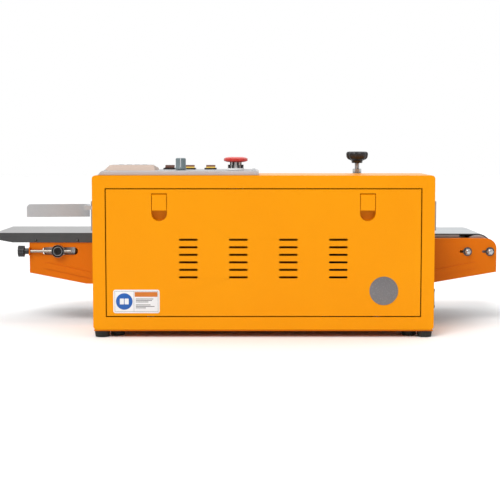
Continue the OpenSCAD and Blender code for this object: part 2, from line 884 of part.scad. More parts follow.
module infeed_tray() {
    tray_t = 1.5;
    tray_front = 146;
    tray_back = frame_rear - tray_t;
    curl_r = 5;
    color("lightgray") {
        block([tray_left, tray_back, tray_top - tray_t], [tray_right, tray_front, tray_top]);
        slab_y(tray_back, tray_front) translate([tray_left, tray_top - curl_r]) difference() {
            circle(curl_r);
            circle(curl_r - tray_t);
            translate([0, -curl_r - 1]) square([curl_r + 1, 2 * curl_r + 2]);
            translate([-curl_r - 1, -curl_r - 1]) square([2 * curl_r + 2, curl_r - 1]);
        }
        block([tray_left - curl_r, tray_back, 143], [tray_left - curl_r + tray_t, tray_front, tray_top - curl_r]);
        slab_y(tray_back, frame_rear) {
            translate([tray_left, tray_top - curl_r]) circle(curl_r);
            polygon([
                [tray_left - curl_r, tray_top - curl_r], [tray_left - curl_r, 143], [tray_left + 30, 136.7],
                [tray_right, 136.7], [tray_right, tray_top], [tray_left, tray_top],
                [tray_left, tray_top - curl_r]]);
        }
        slab_y(tray_front - tray_t, tray_front) polygon([
            [tray_left, tray_top - tray_t], [tray_left + 30, 143], [frame_left - 2, 143],
            [frame_left - 2, tray_top - tray_t]]);
        for (x = [-355, -284]) translate([x, tray_back, 140]) difference() {
            sphere(2.6);
            block([-3, 0.01, -3], [3, 3, 3]);
        }
    }
}

module bag_guide_bar() {
    bar_low = 179;
    bar_high = 201;
    tab_low = 194;
    tab_t = 2;
    bar_left = -372;
    bar_right = -268;
    bar_y0 = 8;
    flare = 12;
    color("lightgray") {
        block([bar_right, plate_y - 4 - tab_t, tab_low], [arm_left + 5, plate_y - 4, bar_high]);
        block([bar_right, plate_y - 4 - tab_t, tab_low], [bar_right + tab_t, bar_y0, bar_high]);
        difference() {
            translate([0, 0, bar_low]) linear_extrude(bar_high - bar_low) polygon([
                [bar_right + tab_t, bar_y0], [bar_right + tab_t, bar_y0 - tab_t],
                [bar_left, bar_y0 - flare - tab_t], [bar_left, bar_y0 - flare]]);
            slab_y(-20, 20) polygon([[bar_left - 1, bar_high - 5], [bar_left + 5, bar_high + 1],
                                     [bar_left - 1, bar_high + 1]]);
        }
    }
}

// ---- Sealing head ----

module mechanism_plate() {
    color("silver") difference() {
        slab_y(housing_front, plate_y) difference() {
            union() {
                translate([arm_left, arm_low]) square([arm_right - arm_left, arm_high - arm_low]);
                translate([head_left, head_low]) square([head_right - head_left, head_high - head_low]);
            }
            translate([fan_x, fan_z]) circle(fan_r + 1);
        }
        shaft_holes();
    }
    color("silver") for (x = guard_hinge_x) {
        bar_x(guard_pin_y, guard_pin_z, x - 18, x + 18, guard_pin_r);
        for (side = [-1, 1])
            block([x + side * 18 - 4, plate_y - 0.1, guard_pin_z - 2],
                  [x + side * 18 + 4, guard_pin_y + 2, guard_pin_z + 1.1]);
    }
}

module lower_guard() {
    low_top = seal_z - bag_gap;
    color("silver") {
        slab_y(guard_y, guard_y + guard_t) {
            translate([arm_left, arm_low]) square([arm_right - arm_left, low_top - arm_low]);
            translate([head_left, head_low + 8])
                square([head_right - head_left, low_top - head_low - 8]);
        }
        for (x = [arm_left, arm_right - 2])
            block([x, plate_y, arm_low], [x + 2, guard_y + 0.5, arm_low + 6]);
        for (x = [head_left, head_right - 2])
            block([x, plate_y, head_low + 8], [x + 2, guard_y + 0.5, head_low + 14]);
    }
}

module upper_guard() {
    up_low = seal_z + bag_gap;
    cover_rear = plate_y + 0.5;
    guard_top = head_high - 3;
    notch = 26;
    color("silver") {
        difference() {
            union() {
                slab_y(guard_y, guard_y + guard_t) {
                    translate([arm_left, up_low])
                        square([arm_right - arm_left, arm_high - up_low]);
                    translate([head_left, up_low])
                        square([head_right - head_left, guard_top - up_low]);
                }
                for (x = [arm_left, arm_right - 1.5])
                    block([x, cover_rear, up_low], [x + 1.5, guard_y + 0.5, arm_high]);
                block([head_left, guard_pin_y + 0.5, guard_top - 1.5],
                      [head_right, guard_y + 0.5, guard_top]);
                for (x = guard_hinge_x) {
                    bar_x(guard_pin_y, guard_pin_z, x - 13, x + 13, 2);
                    block([x - 13, guard_pin_y - 1, guard_top - 1.5],
                          [x + 13, guard_pin_y + 1.5, guard_pin_z]);
                }
            }
            block([press_x - notch, cover_rear - 1, arm_high],
                  [press_x + notch, guard_y + 3, guard_top + 1]);
            for (x = guard_hinge_x) {
                bar_x(guard_pin_y, guard_pin_z, x - 30, x + 30, guard_pin_r + run_fit);
                for (side = [-1, 1])
                    block([x + side * 18 - 4.4, cover_rear - 1, guard_top - 3],
                          [x + side * 18 + 4.4, guard_pin_y + 2.4, guard_top + 3]);
            }
        }
    }
}

module sealing_bands() {
    color("peru") slab_y(band_y, band_y + band_w) for (z = [upper_z, lower_z])
        level_belt(driven_x, drive_wheel_x, z, band_r, band_t);
}

// A band wheel with its shaft back through the plate
module band_wheel(x, z, rear) {
    hub_r = 8;
    rim = 3.2;
    color("silver") {
        difference() {
            bar_y(x, z, band_y, band_y + band_w, wheel_r);
            for (y = [[band_y - 1, band_y + 5], [band_y + band_w - 5, band_y + band_w + 1]])
                slab_y(y[0], y[1]) translate([x, z]) difference() {
                    circle(wheel_r - rim);
                    circle(hub_r);
                }
        }
        bar_y(x, z, rear, band_y + band_w + 0.5, shaft_r);
    }
}

gear_y = [housing_front - 20, housing_front - 12];
gear_teeth = 42;
shaft_rear = housing_front - 22;
drive_sprocket_y = -79;

module drive_gear(z, turn) {
    color("goldenrod") slab_y(gear_y[0], gear_y[1]) translate([drive_wheel_x, z])
        gear_outline(gear_teeth, wheel_rise, turn);
}

module upper_drive_wheel() {
    band_wheel(drive_wheel_x, upper_z, shaft_rear);
    drive_gear(upper_z, 180 / gear_teeth);
}

module lower_drive_wheel() {
    band_wheel(drive_wheel_x, lower_z, drive_sprocket_y - 1);
    drive_gear(lower_z, 0);
    color("dimgray") slab_y(drive_sprocket_y + 0.4, drive_sprocket_y + chain_w - 0.4)
        translate([drive_wheel_x, lower_z]) sprocket_outline(13, 13.6);
}

// A driven band wheel with the guide belt pulley on the same shaft
module driven_wheel(z) {
    band_wheel(driven_x, z, shaft_rear + 12);
    color("silver") bar_y(driven_x, z, guide_belt_y + 0.3, band_y + 0.1, guide_drive_r);
}

module upper_driven_wheel() {
    driven_wheel(upper_z);
}

module lower_driven_wheel() {
    driven_wheel(lower_z);
}

heater_x = [-20, 70];
cooler_x = [82, 152];
block_h = 14;

// Blocks inside both bands, from a low height away from the seal line to a high one
module head_block(x0, x1, h) {
    near = 0.1 + band_t + 0.05;
    for (side = [-1, 1]) {
        a = seal_z + side * near;
        b = seal_z + side * (near + h);
        difference() {
            block([x0, band_y, min(a, b)], [x1, band_y + band_w, max(a, b)]);
            children();
        }
        for (x = [x0 + 4, x1 - 10])
            block([x, plate_y, min(b - side * 8, b)], [x + 6, band_y + 0.1, max(b - side * 8, b)]);
    }
}

module heating_blocks() {
    heater_r = 4;
    color("peru") head_block(heater_x[0], heater_x[1], block_h)
        for (side = [-1, 1])
            bar_x(band_y + band_w / 2, seal_z + side * 9, heater_x[0] - 1, heater_x[1] + 1, heater_r);
    color("silver") for (side = [-1, 1])
        bar_x(band_y + band_w / 2, seal_z + side * 9, heater_x[0] - 4, heater_x[1] + 3, heater_r - run_fit);
}

module cooling_blocks() {
    fins = 9;
    pitch = (cooler_x[1] - cooler_x[0]) / fins;
    color("silver") head_block(cooler_x[0], cooler_x[1], block_h)
        for (i = [0 : fins - 2], side = [-1, 1]) {
            x = cooler_x[0] + (i + 1) * pitch - 1.5;
            z = seal_z + side * (block_h - 3);
            block([x, band_y + 3, z - 5], [x + 3, band_y + band_w + 1, z + 5]);
        }
}

module guide_belts() {
    color("black") slab_y(guide_belt_y, guide_belt_y + guide_belt_w) {
        sloped_belt([guide_x, seal_z + guide_rise], guide_r + wheel_gap,
                    [driven_x, upper_z], guide_drive_r + wheel_gap, guide_belt_t);
        sloped_belt([guide_x, seal_z - guide_rise], guide_r + wheel_gap,
                    [driven_x, lower_z], guide_drive_r + wheel_gap, guide_belt_t);
    }
}

module guide_pulley(z) {
    pulley_front = guide_belt_y + guide_belt_w;
    color("silver") {
        bar_y(guide_x, z, guide_belt_y + 0.3, pulley_front, guide_r);
        bar_y(guide_x, z, housing_front - 4, pulley_front + 4, shaft_r - 1);
    }
}

module upper_guide_pulley() {
    guide_pulley(seal_z + guide_rise);
}

module lower_guide_pulley() {
    guide_pulley(seal_z - guide_rise);
}

module shaft_bearings() {
    color("silver") {
        for (x = [driven_x, drive_wheel_x], z = [upper_z, lower_z])
            bearing(x, z, bearing_r, shaft_r);
        bearing(press_x, press_low_z, bearing_r, shaft_r);
        for (z = [seal_z - guide_rise, seal_z + guide_rise])
            bearing(guide_x, z, guide_hole_r, shaft_r - 1);
    }
}

// A plain bearing that fills its hole in the plate and the front panel
module bearing(x, z, outer, bore) {
    difference() {
        bar_y(x, z, housing_front - 3, plate_y - 0.3, outer);
        bar_y(x, z, housing_front - 4, plate_y, bore + run_fit);
    }
}

// ---- Drive and cooling fan ----

module gear_motor() {
    gearbox = [[220, -126, 66], [280, -84, 134]];
    motor_r = 29;
    color("dimgray") difference() {
        union() {
            block(gearbox[0], gearbox[1]);
            bar_x(-105, output_z, 120, 221, motor_r);
            bar_x(-105, output_z, 108, 121, 20);
            block([130, -130, pan_top], [210, -80, output_z - 20]);
            block([222, -124, pan_top], [278, -86, 67]);
        }
        bar_y(output_x, output_z, -127, -83, shaft_r + 1 + run_fit);
    }
}

module output_shaft() {
    color("silver") {
        bar_y(output_x, output_z, -122, chain_y + chain_w, shaft_r + 1);
        slab_y(drive_sprocket_y + 0.4, drive_sprocket_y + chain_w - 0.4)
            translate([output_x, output_z]) sprocket_outline(13, 13.6);
        slab_y(chain_y + 0.4, chain_y + chain_w - 0.4)
            translate([output_x, output_z]) sprocket_outline(13, 9.8);
    }
}

module drive_chains() {
    chain_t = 3.6;
    color("dimgray") {
        slab_y(drive_sprocket_y, drive_sprocket_y + chain_w)
            sloped_belt([output_x, output_z], 14, [drive_wheel_x, lower_z], 14, chain_t);
        slab_y(chain_y, chain_y + chain_w)
            sloped_belt([output_x, output_z], 10.2, [drive_x, roller_z], 14, chain_t);
    }
}

fan_rear = -68;

module fan_body() {
    half = 24;
    color("black") difference() {
        union() {
            difference() {
                block([fan_x - half, fan_rear, fan_z - half],
                      [fan_x + half, housing_front - sheet, fan_z + half]);
                bar_y(fan_x, fan_z, fan_rear - 1, housing_front, fan_r + 1);
            }
            bar_y(fan_x, fan_z, fan_rear, fan_rear + 3, 8);
            for (a = [45, 135]) slab_y(fan_rear, fan_rear + 2) translate([fan_x, fan_z]) rotate(a)
                square([2 * fan_r + 4, 3], center = true);
            bar_y(fan_x, fan_z, fan_rear, fan_rear + 10, 1.5);
        }
    }
}

module fan_rotor() {
    blades = 7;
    color("dimgray") difference() {
        union() {
            bar_y(fan_x, fan_z, fan_rear + 3.5, housing_front - 3, 7.5);
            for (i = [0 : blades - 1]) translate([fan_x, 0, fan_z]) rotate([0, i * 360 / blades, 0])
                translate([0, fan_rear + 8.5, 0]) rotate([0, 0, 35])
                    translate([6, -0.7, -4]) cube([fan_r - 8, 1.4, 8]);
        }
        bar_y(fan_x, fan_z, fan_rear + 3, fan_rear + 10.5, 1.5 + run_fit);
    }
}

housing_shell();
rear_frame();
front_panel();
base_pan();
rear_door();
door_hinges();
latch_left();
latch_right();
hole_plug();
power_inlet();
rubber_feet();
control_panel();
temperature_controller();
speed_knob();
power_switch();
heat_switch();
fan_switch();
control_bodies();
estop_base();
estop_stem();
estop_head();
pressure_knob();
pressure_bracket();
pressure_spring();
press_carriage();
conveyor_side_rear();
conveyor_side_front();
conveyor_bed();
conveyor_belt();
conveyor_supports();
drive_roller();
roller_bearings();
roller_bolts();
idler_roller();
tension_axle();
tension_screw_rear();
tension_screw_front();
infeed_tray();
bag_guide_bar();
mechanism_plate();
lower_guard();
upper_guard();
sealing_bands();
upper_drive_wheel();
lower_drive_wheel();
upper_driven_wheel();
lower_driven_wheel();
heating_blocks();
cooling_blocks();
upper_press_wheel();
lower_press_wheel();
guide_belts();
upper_guide_pulley();
lower_guide_pulley();
shaft_bearings();
gear_motor();
output_shaft();
drive_chains();
fan_body();
fan_rotor();
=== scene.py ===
import json
import math

import bmesh
import bpy
from bpy.props import FloatProperty, FloatVectorProperty, IntProperty, PointerProperty
from mathutils import Matrix, Vector


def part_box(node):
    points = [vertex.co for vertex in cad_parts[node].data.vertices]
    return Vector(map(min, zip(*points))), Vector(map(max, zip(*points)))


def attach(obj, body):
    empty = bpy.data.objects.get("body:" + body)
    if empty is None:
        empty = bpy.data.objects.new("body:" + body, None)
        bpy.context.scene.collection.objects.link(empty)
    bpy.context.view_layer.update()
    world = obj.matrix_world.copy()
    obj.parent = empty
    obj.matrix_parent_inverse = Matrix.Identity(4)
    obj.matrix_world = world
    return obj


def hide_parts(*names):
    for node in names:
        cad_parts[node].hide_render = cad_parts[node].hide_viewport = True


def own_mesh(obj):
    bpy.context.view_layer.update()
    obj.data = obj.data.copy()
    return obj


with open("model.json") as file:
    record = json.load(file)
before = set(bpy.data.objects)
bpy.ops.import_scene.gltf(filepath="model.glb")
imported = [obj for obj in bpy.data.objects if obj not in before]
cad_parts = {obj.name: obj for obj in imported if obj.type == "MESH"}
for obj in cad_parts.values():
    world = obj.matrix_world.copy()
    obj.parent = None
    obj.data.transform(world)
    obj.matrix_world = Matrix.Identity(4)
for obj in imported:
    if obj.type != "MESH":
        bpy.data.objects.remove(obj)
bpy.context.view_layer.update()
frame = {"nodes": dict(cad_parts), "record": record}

bl_info = {
    "name": "Band sealer",
    "version": (1, 0, 0),
    "blender": (4, 5, 0),
    "location": "View3D > Sidebar > Band sealer",
    "description": "Finishes the band sealer's panels, controls and conveyor, and sets its studio",
    "category": "Add Mesh",
}

MM = 0.001
NODE_SLOT = {row["node"]: row["material_slot"] for row in frame["record"]["subparts"]}


def colour(name, text, value):
    """A colour property with its name, description and default."""
    return FloatVectorProperty(name=name, description=text, subtype="COLOR", size=3, min=0.0, max=1.0,
                               default=value)


def length(name, text, value):
    """A length property in metres."""
    return FloatProperty(name=name, description=text, default=value, min=0.0, unit="LENGTH")


def count(name, text, value):
    """A whole number of at least three."""
    return IntProperty(name=name, description=text, default=value, min=3)


def amount(name, text, value, low=0.0):
    """A plain number that isn't below low."""
    return FloatProperty(name=name, description=text, default=value, min=low)


class SealerColours(bpy.types.PropertyGroup):
    """Colours of the paints, plastics and metals."""
    housing: colour("Housing paint", "Orange powder coat of the housing", (0.83, 0.310, 0.0010))
    housing_shade: colour("Housing paint, thin", "Where the coat is thinner", (0.80, 0.275, 0.0010))
    chassis: colour("Chassis paint", "Darker amber coat of the conveyor frame", (0.70, 0.165, 0.0015))
    steel: colour("Stainless steel", "Guards, tray and guide bar", (0.41, 0.41, 0.41))
    belt: colour("Conveyor belt", "Coated conveyor belt", (0.32, 0.35, 0.37))
    band: colour("Sealing band", "Coated glass cloth band", (0.42, 0.24, 0.11))
    panel: colour("Control panel", "Moulded top panel", (0.52, 0.50, 0.51))
    controller: colour("Controller case", "Case of the temperature controller", (0.60, 0.46, 0.38))
    stop: colour("Emergency stop", "Red of the stop button", (0.62, 0.03, 0.02))
    rocker: colour("Rocker", "Amber of the rocker switches", (0.11, 0.022, 0.001))
    plug: colour("Hole plug", "Grey of the hole plug", (0.165, 0.157, 0.162))
    knob: colour("Speed knob", "Blue-grey of the speed knob", (0.17, 0.22, 0.235))
    rubber: colour("Rubber", "Feet and guide belts", (0.012, 0.011, 0.010))


class SealerSizes(bpy.types.PropertyGroup):
    """Sizes of the pieces that are made here."""
    pressed: length("Pressed rib", "Rounding of the pressed ribs of the conveyor sides", 0.9 * MM)
    deburr: length("Deburred edge", "Rounding of a cut sheet edge", 0.35 * MM)
    mould: length("Moulded edge", "Rounding of a moulded plastic edge", 0.8 * MM)
    label_x: length("Label from the left", "From the door's left edge to the label", 10.3 * MM)
    label_z: length("Label from below", "From the door's lower edge to the label", 4.6 * MM)
    label_w: length("Label width", "Width of the label on the door", 73 * MM)
    label_h: length("Label height", "Height of the label on the door", 37.2 * MM)
    label_t: length("Label thickness", "Thickness of the label", 0.35 * MM)
    thread_pitch: length("Thread pitch", "Pitch of the pressure screw's thread", 1.25 * MM)
    wire: length("Spring wire", "Radius of the pressure spring's wire", 0.6 * MM)
    coils: count("Spring coils", "Turns of the pressure spring", 6)
    flutes: count("Knob flutes", "Flutes round the speed knob", 18)


class SealerStudio(bpy.types.PropertyGroup):
    """Camera and lights."""
    eye: FloatVectorProperty(name="Camera place", description="Where the camera stands", subtype="XYZ",
                             unit="LENGTH", size=3, default=(0.0213, -2.190, 0.3086))
    pitch: FloatProperty(name="Camera pitch", description="How far the camera looks down",
                         unit="ROTATION", default=math.radians(4.87))
    lens: amount("Lens", "Focal length in millimetres", 92.1, 10.0)
    shift: amount("Shift", "Sideways shift of the picture", -0.014, -1.0)
    sky: amount("Sky", "Strength of the white surroundings", 1.0)
    shade: amount("Shaded side", "Brightness of the surroundings behind the camera", 0.30)
    sun: amount("Sun", "Strength of the wide soft main light", 1.68)
    key: amount("Key light", "Power of the nearer soft light in watts", 9.0)
    fill: amount("Fill light", "Power of the fill lights in watts", 3.0)


# ---- Shader trees ----

class Value:
    """A number in a shader tree. Arithmetic on it adds Math nodes."""

    def __init__(self, tree, socket):
        self.tree, self.socket = tree, socket

    def _math(self, operation, *terms):
        node = self.tree.nodes.new("ShaderNodeMath")
        node.operation = operation
        for slot, term in zip(node.inputs, terms):
            if isinstance(term, Value):
                self.tree.links.new(term.socket, slot)
            else:
                slot.default_value = term
        return Value(self.tree, node.outputs[0])

    def __add__(self, other):
        return self._math("ADD", self, other)

    __radd__ = __add__

    def __sub__(self, other):
        return self._math("SUBTRACT", self, other)

    def __rsub__(self, other):
        return self._math("SUBTRACT", other, self)

    def __mul__(self, other):
        return self._math("MULTIPLY", self, other)

    __rmul__ = __mul__

    def sine(self):
        return self._math("SINE", self)

    def ramp(self, low, high):
        """0 below low, 1 above high, a straight line between them."""
        node = self.tree.nodes.new("ShaderNodeMapRange")
        self.tree.links.new(self.socket, node.inputs["Value"])
        node.inputs["From Min"].default_value = low
        node.inputs["From Max"].default_value = high
        return Value(self.tree, node.outputs["Result"])


class Shading:
    """A shader tree and the place that its patterns read."""

    def __init__(self, tree, coordinates):
        self.tree = tree
        self.place = self.node("ShaderNodeTexCoord").outputs[coordinates]

    def node(self, kind, settings=None, inputs=None):
        """Adds a node: its settings first, then the values or links of its sockets."""
        made = self.tree.nodes.new(kind)
        for key, value in (settings or {}).items():
            setattr(made, key, value)
        for key, value in (inputs or {}).items():
            slot = made.inputs[key]
            if isinstance(value, Value):
                self.tree.links.new(value.socket, slot)
            elif isinstance(value, bpy.types.NodeSocket):
                self.tree.links.new(value, slot)
            else:
                slot.default_value = value
        return made

    def noise(self, scale, detail=2.0, stretch=(1.0, 1.0, 1.0)):
        """Noise of a scale per metre, stretched along the axes."""
        place = self.node("ShaderNodeMapping", inputs={"Vector": self.place, "Scale": stretch})
        texture = self.node("ShaderNodeTexNoise", inputs={"Vector": place.outputs[0], "Scale": scale,
                                                          "Detail": detail})
        return Value(self.tree, texture.outputs[0])

    def axis(self, letter):
        """One object coordinate in metres."""
        parts = self.node("ShaderNodeSeparateXYZ", inputs={0: self.place})
        return Value(self.tree, parts.outputs[letter])

    def tint(self, factor, first, second):
        """A colour between two, by a factor."""
        mix = self.node("ShaderNodeMix", {"data_type": "RGBA"}, {0: factor})
        for index, item in ((6, first), (7, second)):
            if isinstance(item, bpy.types.NodeSocket):
                self.tree.links.new(item, mix.inputs[index])
            else:
                mix.inputs[index].default_value = (*item, 1.0)
        return mix.outputs[2]


class Finish(Shading):
    """One procedural material on a Principled shader."""

    def __init__(self, name, **constants):
        self.material = bpy.data.materials.new(name)
        self.material.use_nodes = True
        super().__init__(self.material.node_tree, "Object")
        self.shader = self.tree.nodes["Principled BSDF"]
        for socket, value in constants.items():
            self.shader.inputs[socket.replace("_", " ")].default_value = value

    def feed(self, socket, value):
        """Links a value or a socket to the shader."""
        source = value.socket if isinstance(value, Value) else value
        self.tree.links.new(source, self.shader.inputs[socket])

    def relief(self, height, depth, strength=1.0):
        """Bump of a depth in metres, fed to the shader's normal."""
        bump = self.node("ShaderNodeBump", inputs={"Height": height, "Distance": depth,
                                                   "Strength": strength})
        self.feed("Normal", bump.outputs[0])


def darker(tone, share):
    """A colour with a share of its brightness."""
    return tuple(c * share for c in tone)


def powder_coat(name, tone, thin):
    """Powder coat: orange-peel skin, slight cloudiness, a few rubbed patches and dust."""
    f = Finish(name, Specular_IOR_Level=0.10)
    cloud = f.noise(7.0)
    rubbed = f.noise(38.0, 4.0, (1.0, 1.0, 3.0)).ramp(0.60, 0.78)
    peel = f.noise(620.0, 1.0)
    dust = f.noise(2600.0, 2.0).ramp(0.66, 0.80)
    coat = f.tint(cloud, tone, thin)
    f.feed("Base Color", f.tint(dust * 0.12, coat, darker(tone, 1.08)))
    f.feed("Roughness", 0.30 + cloud * 0.06 + rubbed * 0.10)
    f.relief(peel, 0.05 * MM, 0.35)
    return f.material


def brushed(name, tone, stretch, rough=0.28):
    """Brushed sheet: fine grain along one axis, with handling smudges."""
    f = Finish(name, Metallic=1.0, Anisotropic=0.35)
    grain = f.noise(1500.0, 3.0, stretch)
    smudge = f.noise(22.0, 3.0)
    f.feed("Base Color", f.tint(grain * 0.5 + smudge * 0.4, tone, darker(tone, 0.80)))
    f.feed("Roughness", rough + grain * 0.14 + smudge * 0.10)
    f.relief(grain, 0.02 * MM, 0.4)
    return f.material


def folded_tray(name, tone, edge_y):
    """Brushed tray steel, with the flange behind edge_y painted darker as a painted reflection of the dim
    surroundings.
    """
    f = Finish(name, Metallic=1.0, Anisotropic=0.3)
    grain = f.noise(1500.0, 3.0, (0.015, 1.0, 1.0))
    smudge = f.noise(22.0, 3.0)
    top = f.tint(grain * 0.5 + smudge * 0.4, tone, darker(tone, 0.80))
    # Painted reflection: the flange gets a darker copy of the steel, standing in for the dim surroundings
    # that it mirrors.
    flange_painted_reflection = f.tint(grain * 0.6 + smudge * 0.4, darker(tone, 0.30), darker(tone, 0.16))
    f.feed("Base Color", f.tint(f.axis("Y").ramp(edge_y - 0.3 * MM, edge_y + 0.3 * MM), flange_painted_reflection, top))
    f.feed("Roughness", 0.26 + grain * 0.14 + smudge * 0.10)
    f.relief(grain, 0.02 * MM, 0.4)
    return f.material


def belt_with_painted_shade(name, tone, low_y, high_y):
    """Coated belt: a woven tooth under the coat, painted shade along both edges and faint bag marks."""
    f = Finish(name, Specular_IOR_Level=0.5)
    pitch = math.tau / (1.1 * MM)
    weave = (f.axis("X") * pitch).sine() * (f.axis("Y") * pitch).sine()
    marks = f.noise(30.0, 4.0, (0.25, 1.0, 1.0)).ramp(0.5, 0.85)
    # Painted shade: a strip 5 mm wide along each edge of the belt fades to near black, standing in for the
    # shade at the belt's edges.
    across = f.axis("Y")
    edge = 5.0 * MM
    fade = 1.0 * MM
    past_low = across.ramp(low_y + edge, low_y + edge + fade)
    past_high = across.ramp(high_y - edge - fade, high_y - edge)
    inside = past_low * (1.0 - past_high)
    face = f.tint(marks * 0.25 + weave * 0.04, tone, darker(tone, 0.62))
    # Near black outside the inner part is the painted shade.
    f.feed("Base Color", f.tint(inside, (0.020, 0.022, 0.026), face))
    f.feed("Roughness", 0.30 + marks * 0.12)
    f.relief(weave, 0.05 * MM, 0.3)
    return f.material


def two_tone(name, low_tone, high_tone, height, rough=0.3):
    """Moulded plastic in two colours, one below a height and one above it."""
    f = Finish(name, Specular_IOR_Level=0.5)
    skin = f.noise(800.0, 2.0)
    up = f.axis("Z").ramp(height - 0.05 * MM, height + 0.05 * MM)
    f.feed("Base Color", f.tint(up, low_tone, f.tint(skin, high_tone, darker(high_tone, 0.8))))
    f.feed("Roughness", rough + skin * 0.08)
    f.relief(skin, 0.03 * MM, 0.3)
    return f.material


def capped(name, tone, edge_x):
    """Turned steel with a black moulded grip on the part left of edge_x."""
    f = Finish(name)
    rings = f.noise(2600.0, 2.0, (1.0, 0.02, 0.02))
    bare = f.axis("X").ramp(edge_x - 0.05 * MM, edge_x + 0.05 * MM)
    steel = f.tint(rings * 0.6, tone, darker(tone, 0.7))
    f.feed("Base Color", f.tint(bare, (0.012, 0.012, 0.013), steel))
    f.feed("Metallic", bare)
    f.feed("Roughness", 0.30 + rings * 0.12)
    f.relief(rings, 0.02 * MM, 0.4)
    return f.material


def plated(name, tone, rough):
    """Zinc plate or oiled steel: mottled, with small dull spots."""
    f = Finish(name, Metallic=1.0)
    mottle = f.noise(160.0, 4.0)
    spots = f.noise(700.0, 2.0).ramp(0.62, 0.72)
    f.feed("Base Color", f.tint(mottle * 0.6 + spots * 0.3, tone, darker(tone, 0.68)))
    f.feed("Roughness", rough + mottle * 0.16 + spots * 0.12)
    f.relief(mottle, 0.03 * MM, 0.3)
    return f.material


def turned(name, tone, rough=0.22):
    """Turned metal: tool rings along the shaft's axis."""
    f = Finish(name, Metallic=1.0)
    rings = f.noise(2600.0, 2.0, (0.02, 1.0, 0.02))
    haze = f.noise(60.0, 3.0)
    f.feed("Base Color", f.tint(rings * 0.5 + haze * 0.3, tone, darker(tone, 0.76)))
    f.feed("Roughness", rough + rings * 0.16 + haze * 0.08)
    f.relief(rings, 0.02 * MM, 0.5)
    return f.material


def moulded(name, tone, rough, grain=900.0, gloss=0.5):
    """Moulded plastic: fine spark-eroded grain and faint flow marks."""
    f = Finish(name, Specular_IOR_Level=gloss)
    skin = f.noise(grain, 2.0)
    flow = f.noise(26.0, 3.0, (1.0, 1.0, 0.4))
    f.feed("Base Color", f.tint(flow, tone, darker(tone, 0.84)))
    f.feed("Roughness", rough + skin * 0.08 + flow * 0.05)
    f.relief(skin, 0.03 * MM, 0.3)
    return f.material


def rubber(name, tone):
    """Rubber: matt, dusty in the hollows of its grain."""
    f = Finish(name, Specular_IOR_Level=0.35)
    grain = f.noise(1200.0, 3.0)
    dust = f.noise(45.0, 4.0).ramp(0.45, 0.8)
    f.feed("Base Color", f.tint(dust * 0.30, tone, (0.09, 0.08, 0.07)))
    f.feed("Roughness", 0.55 + grain * 0.2 + dust * 0.15)
    f.relief(grain, 0.05 * MM, 0.5)
    return f.material


def woven(name, tone, thread, rough, sheen_mark):
    """Coated cloth: two crossing threads under a coat, with dark handling marks."""
    f = Finish(name, Specular_IOR_Level=0.4)
    pitch = math.tau / thread
    weave = (f.axis("X") * pitch).sine() * (f.axis("Y") * pitch).sine()
    marks = f.noise(30.0, 4.0, (0.25, 1.0, 1.0)).ramp(0.5, 0.85)
    shade = f.tint(marks * sheen_mark, tone, darker(tone, 0.62))
    f.feed("Base Color", f.tint(weave * 0.06 + 0.06, shade, darker(tone, 0.78)))
    f.feed("Roughness", rough + marks * 0.12)
    f.relief(weave, 0.06 * MM, 0.35)
    return f.material


def lit_rocker(name, tone, low, high):
    """Translucent rocker: dark amber above, lit from inside along its lower edge."""
    f = Finish(name, Specular_IOR_Level=0.15, Coat_Weight=0.08, Coat_Roughness=0.1,
               Emission_Strength=0.30)
    up = f.axis("Z").ramp(low, high)
    cloud = f.noise(240.0, 2.0)
    f.feed("Base Color", f.tint(up, (0.62, 0.42, 0.06), tone))
    f.feed("Emission Color", f.tint(up, (0.80, 0.50, 0.06), (0.02, 0.004, 0.0)))
    f.feed("Roughness", 0.22 + cloud * 0.08)
    return f.material


def glowing(name, tone):
    """Display segment: lit, a little brighter in its middle."""
    f = Finish(name, Emission_Strength=1.2)
    haze = f.noise(900.0, 1.0)
    f.feed("Base Color", f.tint(haze, tone, darker(tone, 0.7)))
    f.feed("Emission Color", f.tint(haze, tone, darker(tone, 0.7)))
    return f.material


def floor_paper(name):
    """Matt white paper with a barely visible tooth."""
    f = Finish(name, Specular_IOR_Level=0.2)
    tooth = f.noise(300.0, 3.0)
    f.feed("Base Color", f.tint(tooth, (0.93, 0.93, 0.93), (0.90, 0.90, 0.90)))
    f.feed("Roughness", 0.75 + tooth * 0.1)
    return f.material


FINISHES = {}


